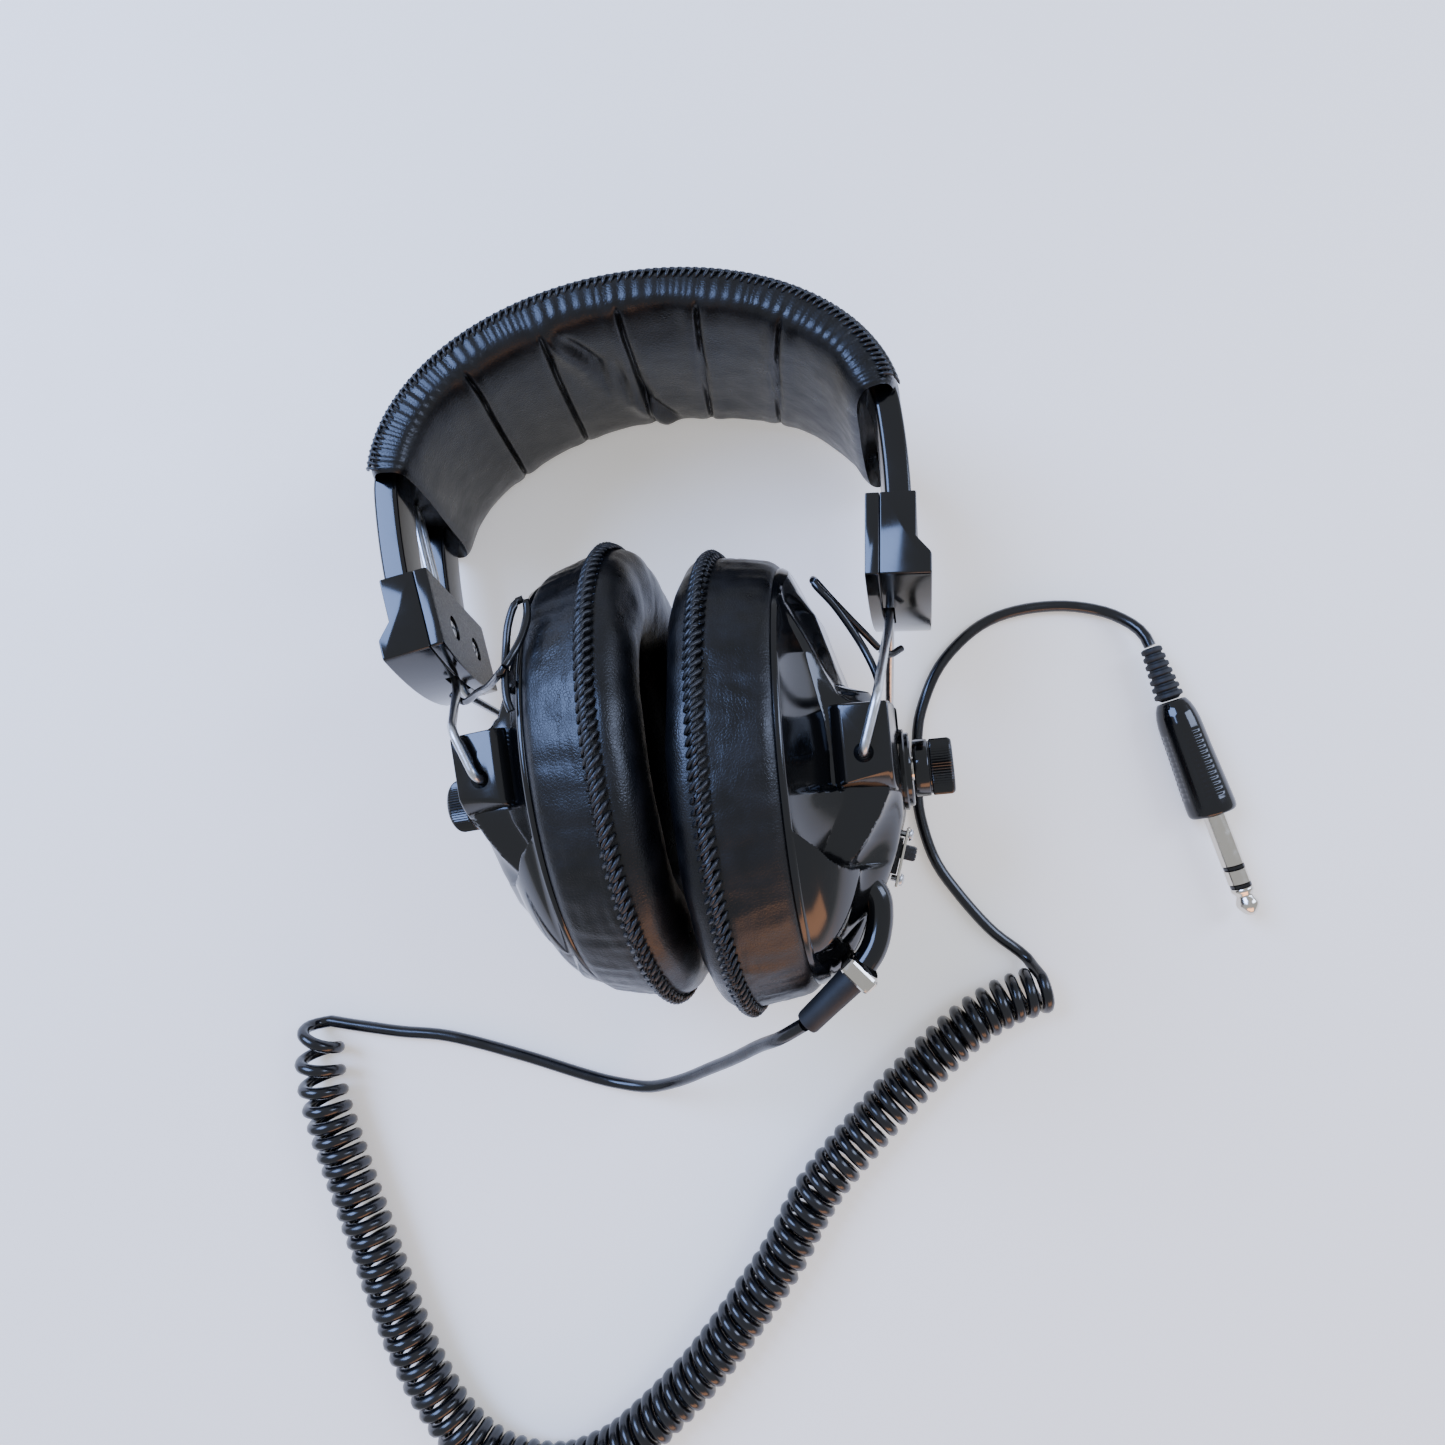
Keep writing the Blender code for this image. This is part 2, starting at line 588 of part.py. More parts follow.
def make_block_screw(side, number, sign, halves, place):
    """The screws go in from the head side, through the inner half into the outer one."""
    face = -SEAM_INSIDE - BLOCK_INNER_THICK
    axis = place @ at((face, -SCREW_BELOW_TOP, sign * SCREW_SPACING / 2), (math.pi, "Y"))
    sunk = 2 * GAP + SCREW_HEAD_DEPTH
    for half in halves.values():
        name = f"screw_hole_{side}_{number}"
        hole = rod_mesh(SCREW_RADIUS + GAP, SCREW_LENGTH + 2.3 * MM, segments=16)
        at_hole = Matrix.Translation((-SCREW_LENGTH - 1.8 * MM, 0, 0))
        cut(half, add(name, hole, BAND, "gloss_abs", axis @ at_hole))
    seat = rod_mesh(SCREW_HEAD_RADIUS + GAP, sunk + GAP + MM, segments=20)
    at_seat = Matrix.Translation((-sunk - GAP, 0, 0))
    cut(halves["inner"], add(f"screw_seat_{side}_{number}", seat, BAND, "gloss_abs", axis @ at_seat))
    profile = (
        (0, 0),
        (0.55 * SCREW_HEAD_RADIUS, -0.1 * SCREW_HEAD_DEPTH),
        (0.9 * SCREW_HEAD_RADIUS, -0.45 * SCREW_HEAD_DEPTH),
        (SCREW_HEAD_RADIUS, -SCREW_HEAD_DEPTH),
        (SCREW_RADIUS, -SCREW_HEAD_DEPTH),
        (SCREW_RADIUS, -SCREW_LENGTH),
        (0, -SCREW_LENGTH - 0.6 * MM),
    )
    profile = [(radius, along - 2 * GAP) for radius, along in profile]
    turned(f"block_screw_{side}_{number}", profile, BAND, "steel", axis, steps=12)


def make_yoke(side):
    """One bent wire: a hairpin in the block, and two legs that turn into the cup's bosses."""
    to_cup = CUPS[side].matrix_world.inverted() @ BAND.matrix_world @ block_matrix(side)
    wire_x = -SEAM_INSIDE + GAP + WIRE_DIAMETER / 2
    half = LEG_SPACING / 2
    top = HAIRPIN_ABOVE - half
    bottom = -BLOCK_HEIGHT - BLOCK_BOW - 2.0 * MM
    hairpin = [
        to_cup @ Vector((wire_x, top + half * math.sin(turn), half * math.cos(turn)))
        for turn in [math.pi * i / 6 for i in range(7)]
    ]
    legs = []
    for sign in (1, -1):
        exit_point = to_cup @ Vector((wire_x, bottom, sign * half))
        out = BOSS_FACE + WIRE_STAND_OFF
        over_boss = Vector((4.6 * MM, BOSS_MIDDLE[1] + BOSS_SIZE[1] / 2 + 1.5 * MM, sign * out))
        turn_in = Vector((0, 0, sign * out))
        inside = Vector((0, 0, sign * (BOSS_FACE - WIRE_IN_BOSS)))
        legs.append([exit_point, over_boss, turn_in, inside])
    line = [*reversed(legs[0]), *hairpin, *legs[1]]
    tube(f"yoke_wire_{side}", with_round_corners(line, 3.4 * MM), WIRE_DIAMETER, CUPS[side], "steel")


# cups
def oval(x, half_height, half_width, steps=32):
    turns = [2 * math.pi * i / steps for i in range(steps)]
    return [
        Vector((x, -PIVOT_ABOVE_MIDDLE + half_height * math.cos(turn), half_width * math.sin(turn)))
        for turn in turns
    ]


def dome_ring(rise, wall, steps=32):
    """One ring of the shell's dome, rise going from 0 at the rim to 1 at the flat; wall sets it inwards."""
    angle = rise * math.pi / 2
    power = 2 / DOME_FULLNESS
    start = SHELL_FRONT + RIM_DEPTH
    along = start + (SHELL_OUTSIDE - start) * math.sin(angle) ** power
    spread = math.cos(angle) ** power
    made = []
    for i in range(steps):
        turn = 2 * math.pi * i / steps
        half_height = FLAT_HALF[0] + (DOME_HALF[0] - FLAT_HALF[0]) * spread - wall
        half_width = FLAT_HALF[1] + (DOME_HALF[1] - FLAT_HALF[1]) * spread - wall
        scoop = SCOOP_DEPTH * abs(math.sin(turn)) ** 6 * math.sin(math.pi * min(1.0, 1.15 * rise)) ** 2
        y = -PIVOT_ABOVE_MIDDLE + half_height * math.cos(turn)
        z = (half_width - scoop) * math.sin(turn)
        made.append(Vector((along - wall, y, z)))
    return made


def make_shell(side):
    cup = CUPS[side]
    rises = [i / 8 for i in range(9)]
    rim = [oval(SHELL_FRONT, *RIM_HALF), oval(SHELL_FRONT + RIM_DEPTH, *RIM_HALF)]
    shell = lofted(f"shell_{side}", rim + [dome_ring(rise, 0.0) for rise in rises], cup, "gloss_abs")
    inner_half = [half - SHELL_WALL for half in RIM_HALF]
    inside = [oval(SHELL_FRONT - MM, *inner_half), oval(SHELL_FRONT + BAFFLE_THICK + GAP, *inner_half)]
    cavity = lofted(
        f"cavity_{side}", inside + [dome_ring(rise, SHELL_WALL) for rise in rises[1:]], cup, "gloss_abs"
    )
    for end, sign in ENDS.items():
        place = Matrix.Translation((*BOSS_MIDDLE, sign * (BOSS_FACE - BOSS_SIZE[2] / 2)))
        boss = rounded(add(f"boss_{side}_{end}", box_mesh(BOSS_SIZE), cup, "gloss_abs", place), 2.2 * MM)
        cut(shell, boss, "UNION")
    cut(shell, cavity)
    for end, sign in ENDS.items():
        bore = rod_mesh(WIRE_DIAMETER / 2 + GAP, BOSS_BORE_DEPTH + MM, segments=16)
        turn = at((0, 0, sign * (BOSS_FACE + MM)), (sign * math.pi / 2, "Y"))
        cut(shell, add(f"wire_hole_{side}_{end}", bore, cup, "gloss_abs", turn))
    through = add(f"shaft_hole_{side}", rod_mesh(SHAFT_RADIUS + GAP, 20 * MM, 24), cup, "gloss_abs")
    through.matrix_local = knob_axis(SHELL_OUTSIDE - 10 * MM)
    return cut(shell, through)


def knob_axis(x):
    return Matrix.Translation((x, -PIVOT_ABOVE_MIDDLE - KNOB_BELOW_MIDDLE, 0))


def make_cushion(side):
    """A ring with a full roll on the head side and a straight skirt behind the seam."""
    seam, back = -PIVOT_FROM_SEAM, SHELL_FRONT - GAP
    profile = (
        (back, 0.15),
        (back + 0.5 * (seam - back), 0.05),
        (seam, 0.0),
        (seam - 0.42 * CUSHION_ROLL, 0.05),
        (seam - 0.8 * CUSHION_ROLL, 0.2),
        (seam - CUSHION_ROLL, 0.45),
        (seam - 0.92 * CUSHION_ROLL, 0.7),
        (seam - 0.6 * CUSHION_ROLL, 0.9),
        (seam, 1.0),
        (back, 1.0),
    )
    rings = []
    for x, inwards in profile:
        half = [a + (b - a) * inwards for a, b in zip(CUSHION_HALF, CUSHION_OPENING)]
        rings.append(oval(x, *half))
    lofted(f"cushion_{side}", rings, CUPS[side], "leatherette", closed=True)


def oval_plate(name, front, thick, half, parent, finish):
    return lofted(name, [oval(front, *half), oval(front + thick, *half)], parent, finish)


def make_baffle(side):
    half = [value - SHELL_WALL - GAP for value in RIM_HALF]
    baffle = oval_plate(f"baffle_{side}", SHELL_FRONT, BAFFLE_THICK, half, CUPS[side], "texture_abs")
    for number in range(7):
        turn = math.pi / 3 * number
        radius = 0.0 if number == 6 else 0.55 * CONE_RADIUS
        middle = (SHELL_FRONT - MM, -PIVOT_ABOVE_MIDDLE + radius * math.cos(turn), radius * math.sin(turn))
        hole = rod_mesh(SOUND_HOLE_RADIUS, BAFFLE_THICK + 2 * MM, segments=16)
        cut(baffle, add(f"sound_hole_{side}_{number}", hole, CUPS[side], "texture_abs", at(middle)))
    half = [value - 1.0 * MM for value in CUSHION_OPENING]
    front = SHELL_FRONT - GAP - FOAM_DISC_THICK
    oval_plate(f"foam_disc_{side}", front, FOAM_DISC_THICK, half, CUPS[side], "foam")


def make_driver(side):
    """Frame, cone and magnet behind the baffle, turned about the cup's middle."""
    cup, axis = CUPS[side], Matrix.Translation(MIDDLE)
    front = SHELL_FRONT + BAFFLE_THICK + GAP
    back = front + DRIVER_DEPTH
    neck = 0.45 * CONE_RADIUS
    frame = (
        (neck, back),
        (0.8 * DRIVER_RADIUS, back),
        (DRIVER_RADIUS, front + 1.5 * MM),
        (DRIVER_RADIUS, front),
        (DRIVER_RADIUS - DRIVER_WALL, front),
        (DRIVER_RADIUS - DRIVER_WALL, front + 1.2 * MM),
        (0.8 * DRIVER_RADIUS - DRIVER_WALL, back - DRIVER_WALL),
        (neck, back - DRIVER_WALL),
    )
    turned(f"driver_frame_{side}", frame, cup, "texture_abs", axis)
    cone = (
        (0, front + 2.2 * MM),
        (0.35 * CONE_RADIUS, front + 2.2 * MM),
        (CONE_RADIUS, front + 0.9 * MM),
        (CONE_RADIUS, front + 0.4 * MM),
        (0.35 * CONE_RADIUS, front + 1.6 * MM),
        (0, front + 1.6 * MM),
    )
    turned(f"driver_cone_{side}", cone, cup, "paper_cone", axis)
    at_back = Matrix.Translation((back + GAP, 0, 0))
    magnet = rod_mesh(MAGNET_RADIUS, MAGNET_DEPTH)
    rounded(add(f"driver_magnet_{side}", magnet, cup, "ferrite", axis @ at_back), 0.5 * MM, 1)


def make_volume_control(side):
    cup = CUPS[side]
    inner_face = SHELL_OUTSIDE - SHELL_WALL - GAP
    pot = rod_mesh(POT_RADIUS, POT_DEPTH)
    rounded(add(f"pot_body_{side}", pot, cup, "nickel", knob_axis(inner_face - POT_DEPTH)), 0.5 * MM, 1)
    base = SHELL_OUTSIDE + GAP
    bore = SHAFT_RADIUS + GAP
    middle, top = base + DIAL_STEPS[0], base + sum(DIAL_STEPS)
    plate = (
        (bore, top),
        (DIAL_RADII[1] - 0.4 * MM, top),
        (DIAL_RADII[1], top - 0.4 * MM),
        (DIAL_RADII[1], middle),
        (DIAL_RADII[0], middle),
        (DIAL_RADII[0], base),
        (bore, base),
    )
    turned(f"dial_plate_{side}", plate, cup, "gloss_abs", knob_axis(0), steps=28)
    start = top + KNOB_SKIRT
    end = start + KNOB_LENGTH
    shaft_start = inner_face + GAP
    shaft_end = shaft_start + SHAFT_LENGTH
    knob = (
        (0, end - CAP_THICK),
        (CAP_RADIUS + GAP, end - CAP_THICK),
        (CAP_RADIUS + GAP, end),
        (KNOB_RADIUS - 0.5 * MM, end),
        (KNOB_RADIUS, end - 0.5 * MM),
        (KNOB_RADIUS, start),
        (bore, start),
        (bore, shaft_end + GAP),
        (0, shaft_end + GAP),
    )
    turned(f"volume_knob_{side}", knob, cup, "gloss_abs", knob_axis(0), steps=28)
    cap = rod_mesh(CAP_RADIUS, CAP_THICK - GAP)
    add(f"knob_cap_{side}", cap, cup, "grey_cap", knob_axis(end - CAP_THICK + GAP))
    add(f"pot_shaft_{side}", rod_mesh(SHAFT_RADIUS, SHAFT_LENGTH, 24), cup, "nickel", knob_axis(shaft_start))


def make_switch(shell):
    """The stereo switch below the right knob: a plate let into the shell, with a body behind it."""
    cup = CUPS["right"]
    frame = at(SWITCH_PLACE, (SWITCH_TILT, "Z"))
    thick, tall, wide = SWITCH_PLATE
    seat = box_mesh((12 * MM, tall + 2 * GAP, wide + 2 * GAP))
    at_seat = Matrix.Translation((6 * MM - GAP, 0, 0))
    cut(shell, add("switch_seat", seat, cup, "gloss_abs", frame @ at_seat))
    opening = [SWITCH_BODY[0] + 14 * MM, SWITCH_BODY[1] + 2 * GAP, SWITCH_BODY[2] + 2 * GAP]
    cut(shell, add("switch_opening", box_mesh(opening), cup, "gloss_abs", frame))
    slot_tall = SWITCH_SLIDER[1] + SWITCH_TRAVEL + 2 * GAP
    at_plate = Matrix.Translation((thick / 2, 0, 0))
    plate = add("switch_plate", box_mesh(SWITCH_PLATE), cup, "nickel", frame @ at_plate)
    slot = box_mesh((4 * MM, slot_tall, SWITCH_SLIDER[2] + 2 * GAP))
    cut(plate, add("switch_slot", slot, cup, "nickel", frame))
    body = frame @ Matrix.Translation((-GAP - SWITCH_BODY[0] / 2, 0, 0))
    body = add("switch_body", box_mesh(SWITCH_BODY), cup, "texture_abs", body)
    well = box_mesh((4 * MM, slot_tall, SWITCH_SLIDER[2] + 2 * GAP))
    cut(body, add("switch_well", well, cup, "texture_abs", frame))
    rest = Matrix.Translation((SWITCH_SLIDER[0] / 2 - 1.6 * MM, SWITCH_TRAVEL / 2, 0))
    slider = add("switch_slider", box_mesh(SWITCH_SLIDER), cup, "texture_abs", frame @ rest)
    rounded(slider, 0.5 * MM)
    for number, sign in enumerate((1, -1), 1):
        hole = rod_mesh(0.9 * MM + GAP, 4 * MM, segments=16)
        at_hole = frame @ Matrix.Translation((-2 * MM, sign * SWITCH_SCREW_SPACING / 2, 0))
        for solid in (plate, shell):
            cut(solid, add(f"switch_screw_hole_{number}", hole, cup, "nickel", at_hole))
        profile = (
            (0, thick + GAP + 0.9 * MM),
            (1.1 * MM, thick + GAP + 0.7 * MM),
            (1.6 * MM, thick + GAP),
            (0.9 * MM, thick + GAP),
            (0.9 * MM, -1.6 * MM),
            (0, -1.6 * MM),
        )
        screw_place = frame @ Matrix.Translation((0, sign * SWITCH_SCREW_SPACING / 2, 0))
        turned(f"switch_screw_{number}", profile, cup, "steel", screw_place, steps=12)


# cord
def route(points, step):
    return smooth_line([Vector(point) * MM for point in points], step)


def make_cord(shells):
    """The free cord and its pieces, which lie in the world's frame."""
    world = empty("cord_frame", Matrix.Identity(4))
    loop = route(GLAND_ROUTE, 2.2 * MM)
    tube("cord_gland", loop, GLAND_DIAMETER, world, "gloss_abs", resolution=3)
    past = [loop[0] - (loop[1] - loop[0]), *loop]
    hole = tube("gland_hole", past, GLAND_DIAMETER + 2 * GAP, world, "gloss_abs", resolution=3)
    cut(shells["right"], to_mesh(hole))
    start, end = RUBBER_ENDS
    along = (end - start).normalized()
    to_rubber = Matrix.Translation(start) @ along.to_track_quat("X", "Z").to_matrix().to_4x4()
    length = (end - start).length
    rubber = rod_mesh(RUBBER_RADII[0], length, 24, top_radius=RUBBER_RADII[1])
    add("rubber_sleeve", rubber, world, "rubber", to_rubber)
    clamp = box_mesh((CLAMP_SIZE[2], CLAMP_SIZE[0], CLAMP_SIZE[1]))
    at_clamp = to_rubber @ Matrix.Translation((CLAMP_SIZE[2] / 2 - 1.0 * MM, 0, 0))
    outer = rounded(add("clamp_band", clamp, world, "nickel", at_clamp), 1.4 * MM, 3)
    hole = rod_mesh(CLAMP_SIZE[0] / 2 - CLAMP_WALL, 30 * MM, 32)
    cut(outer, add("clamp_hole", hole, world, "nickel", to_rubber @ Matrix.Translation((-15 * MM, 0, 0))))
    tube("cord_lead", route(LEAD_ROUTE, 6 * MM), CORD_DIAMETER, world, "cord")
    tube("cord_coil", route(COIL_ROUTE, 9 * MM), COIL_DIAMETER, world, "cord", resolution=3)
    tube("cord_tail", route(TAIL_ROUTE, 6 * MM), CORD_DIAMETER, world, "cord")
    make_plug(world)
    for side, points in LINK_ROUTES.items():
        line = route(points, 4 * MM)
        tube(f"link_lead_{side}", line, LINK_DIAMETER, world, "cord")
        hole = tube(f"link_hole_{side}", line[-3:], LINK_DIAMETER + 2 * GAP, world, "cord")
        cut(shells[side], to_mesh(hole))


def make_plug(world):
    """The plug's pieces in a row, with +X from the cord towards the tip."""
    along = (PLUG_TIP - PLUG_BACK).normalized()
    place = Matrix.Translation(PLUG_BACK) @ along.to_track_quat("X", "Z").to_matrix().to_4x4()
    whole = (PLUG_TIP - PLUG_BACK).length

    boot = [(0, BOOT_LENGTH - GAP)]
    for number in range(BOOT_RIBS, 0, -1):
        share = number / BOOT_RIBS
        radius = BOOT_RADII[0] + (BOOT_RADII[1] - BOOT_RADII[0]) * share
        end = (BOOT_LENGTH - GAP) * share
        step = BOOT_LENGTH / BOOT_RIBS
        boot += [(radius, end), (radius, end - 0.62 * step)]
        boot += [(0.8 * radius, end - 0.66 * step), (0.8 * radius, end - 0.96 * step)]
    boot[-1] = (boot[-2][0], GAP)
    boot.append((0, GAP))
    turned("plug_boot", boot, world, "rubber", place, steps=16)

    grip_end = BOOT_LENGTH + GRIP_LENGTH
    seat = PLUG_RADIUS + GAP
    floor = grip_end - 0.4 * MM  # the sleeve stands in a shallow seat in the grip's flat shoulder
    grip = (
        (0, floor),
        (seat, floor),
        (seat, grip_end),
        (0.9 * GRIP_RADIUS, grip_end),
        (GRIP_RADIUS, grip_end - 0.8 * MM),
        (0.96 * GRIP_RADIUS, BOOT_LENGTH + 0.6 * GRIP_LENGTH),
        (0.9 * GRIP_RADIUS, BOOT_LENGTH + 0.3 * GRIP_LENGTH),
        (0.62 * GRIP_RADIUS, BOOT_LENGTH + 0.5 * MM),
        (0.55 * GRIP_RADIUS, BOOT_LENGTH),
        (0, BOOT_LENGTH),
    )
    turned("plug_grip", grip, world, "gloss_abs", place)

    tip_start = whole - TIP_LENGTH
    front_start = tip_start - INSULATOR_LENGTH
    ring_start = front_start - RING_LENGTH
    sleeve_end = ring_start - INSULATOR_LENGTH
    barrels = {
        "plug_sleeve": (floor + GAP, sleeve_end, PLUG_RADIUS, "nickel"),
        "plug_insulator_rear": (sleeve_end + GAP, ring_start - GAP, INSULATOR_RADIUS, "gloss_abs"),
        "plug_ring": (ring_start, front_start, PLUG_RADIUS, "nickel"),
        "plug_insulator_front": (front_start + GAP, tip_start - GAP, INSULATOR_RADIUS, "gloss_abs"),
    }
    for name, (start, end, radius, finish) in barrels.items():
        turned(name, ((0, end), (radius, end), (radius, start), (0, start)), world, finish, place)
    tip = (
        (0, whole),
        (0.35 * PLUG_RADIUS, whole - 0.3 * MM),
        (0.92 * PLUG_RADIUS, whole - 2.9 * MM),
        (PLUG_RADIUS, whole - 3.5 * MM),
        (0.97 * PLUG_RADIUS, whole - 4.2 * MM),
        (0.72 * PLUG_RADIUS, whole - 6.2 * MM),
        (PLUG_RADIUS, whole - 7.6 * MM),
        (PLUG_RADIUS, tip_start),
        (0, tip_start),
    )
    turned("plug_tip", tip, world, "nickel", place)


make_beams()
make_sleeve()
make_crossover_lead()
shells = {}
for cup_side in SIDES:
    make_block(cup_side)
    make_yoke(cup_side)
    shells[cup_side] = make_shell(cup_side)
    make_cushion(cup_side)
    make_baffle(cup_side)
    make_driver(cup_side)
    make_volume_control(cup_side)
make_switch(shells["right"])
make_cord(shells)
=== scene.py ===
import json
from math import atan2, copysign, cos, exp, pi, radians, sin, sqrt

import bmesh
import bpy
from mathutils import Euler, Matrix, Vector, noise


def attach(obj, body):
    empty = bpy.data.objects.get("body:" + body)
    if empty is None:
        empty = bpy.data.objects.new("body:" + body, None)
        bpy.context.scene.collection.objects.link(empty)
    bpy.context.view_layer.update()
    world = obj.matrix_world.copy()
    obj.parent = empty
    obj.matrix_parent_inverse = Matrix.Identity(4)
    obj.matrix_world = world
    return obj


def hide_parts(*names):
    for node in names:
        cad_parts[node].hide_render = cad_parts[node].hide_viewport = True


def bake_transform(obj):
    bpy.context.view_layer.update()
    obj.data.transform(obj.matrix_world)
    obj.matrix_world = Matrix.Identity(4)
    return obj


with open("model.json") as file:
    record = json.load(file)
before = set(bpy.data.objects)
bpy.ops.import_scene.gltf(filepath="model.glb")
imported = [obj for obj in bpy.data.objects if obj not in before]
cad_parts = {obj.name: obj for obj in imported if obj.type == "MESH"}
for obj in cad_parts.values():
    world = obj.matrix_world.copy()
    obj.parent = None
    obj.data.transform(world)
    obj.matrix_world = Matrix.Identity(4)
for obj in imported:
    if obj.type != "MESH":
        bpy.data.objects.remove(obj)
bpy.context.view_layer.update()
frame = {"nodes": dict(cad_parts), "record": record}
mm = 0.001
print("frame loaded")

# camera, above the headphones and a little past the cups
camera = {"place": (20, -43, 311), "turn": (4.4316, 2.7114, -7.8087), "lens": 24.91, "sensor": 36}
view = bpy.data.cameras.new("view")
view.lens = camera["lens"]
view.sensor_width = camera["sensor"]
view.clip_start = 0.01
viewObject = bpy.data.objects.new("view", view)
viewObject.location = Vector(camera["place"]) * mm
viewObject.rotation_euler = Euler([radians(a) for a in camera["turn"]])
bpy.context.scene.collection.objects.link(viewObject)
bpy.context.scene.camera = viewObject

# how the headphones lie, the same values as the frame was built with
lie = {
    "band": (Vector((-1.2, -31.5, 46.9)) * mm, -5.9, -3.0),
    "seam": {"right": Vector((12.4, -36.5, 47.2)) * mm, "left": Vector((-10.4, -30.5, 47.9)) * mm},
    "swivel": -9.5,
    "roll": {"right": -2.6, "left": -1.3},
    "pivot": (35.3 * mm, 3.0 * mm),
}


def turnAbout(degrees, axis):
    return Matrix.Rotation(radians(degrees), 4, axis)


def move(x, y, z):
    return Matrix.Translation((x * mm, y * mm, z * mm))


def cupPlace(side):
    turn = turnAbout(lie["swivel"], "Y") @ turnAbout(180 if side == "left" else 0, "Y")
    turn = turn @ turnAbout(lie["roll"][side], "Z")
    return Matrix.Translation(lie["seam"][side] + turn @ Vector((*lie["pivot"], 0))) @ turn


bandOrigin, bandTilt, bandTurn = lie["band"]
bandPlace = Matrix.Translation(bandOrigin) @ turnAbout(bandTilt, "X") @ turnAbout(bandTurn, "Y")
cups = {side: cupPlace(side) for side in ("right", "left")}


# materials are built from these
materials = {}


def linear(hexColour):
    parts = [int(hexColour[i:i + 2], 16) / 255 for i in (0, 2, 4)]
    return tuple(c / 12.92 if c <= 0.04045 else ((c + 0.055) / 1.055) ** 2.4 for c in parts) + (1.0,)


def addNode(tree, kind, inputs=None, **settings):
    node = tree.nodes.new("ShaderNode" + kind)
    for key, value in settings.items():
        setattr(node, key, value)
    for key, value in (inputs or {}).items():
        if isinstance(value, bpy.types.NodeSocket):
            tree.links.new(value, node.inputs[key])
        else:
            node.inputs[key].default_value = value
    return node


class Surface:
    def __init__(self, slot, name, colour, roughness, metallic=0.0, ior=1.5):
        made = materials[slot] = bpy.data.materials.new(name)
        made.use_nodes = True
        self.tree = made.node_tree
        self.shader = self.tree.nodes["Principled BSDF"].inputs
        self.shader["Base Color"].default_value = linear(colour)
        self.shader["Roughness"].default_value = roughness
        self.shader["Metallic"].default_value = metallic
        if not metallic:
            self.shader["IOR"].default_value = ior
        self.place = addNode(self.tree, "TexCoord").outputs["Object"]

    def grain(self, sizeMm, detail=3.0, stretch=(1, 1, 1)):
        mapped = addNode(self.tree, "Mapping", {"Vector": self.place, "Scale": stretch}).outputs["Vector"]
        ports = {"Vector": mapped, "Scale": 1000 / sizeMm, "Detail": detail}
        return addNode(self.tree, "TexNoise", ports).outputs["Fac"]

    def cells(self, sizeMm, feature="DISTANCE_TO_EDGE"):
        ports = {"Vector": self.place, "Scale": 1000 / sizeMm}
        return addNode(self.tree, "TexVoronoi", ports, feature=feature).outputs["Distance"]

    def between(self, value, low, high, fromLow=0.3, fromHigh=0.7):
        ports = {"Value": value, "From Min": fromLow, "From Max": fromHigh, "To Min": low, "To Max": high}
        return addNode(self.tree, "MapRange", ports).outputs["Result"]

    def bump(self, height, depthMm, strength=1.0, under=None):
        ports = {"Height": height, "Distance": depthMm * mm, "Strength": strength}
        if under is not None:
            ports["Normal"] = under
        raised = addNode(self.tree, "Bump", ports).outputs["Normal"]
        self.tree.links.new(raised, self.shader["Normal"])
        return raised

    def rough(self, value, low, high):
        self.tree.links.new(self.between(value, low, high), self.shader["Roughness"])

    def twoTone(self, value, dark, light):
        mix = addNode(self.tree, "Mix", {0: value, 6: linear(dark), 7: linear(light)}, data_type="RGBA")
        self.tree.links.new(mix.outputs[2], self.shader["Base Color"])


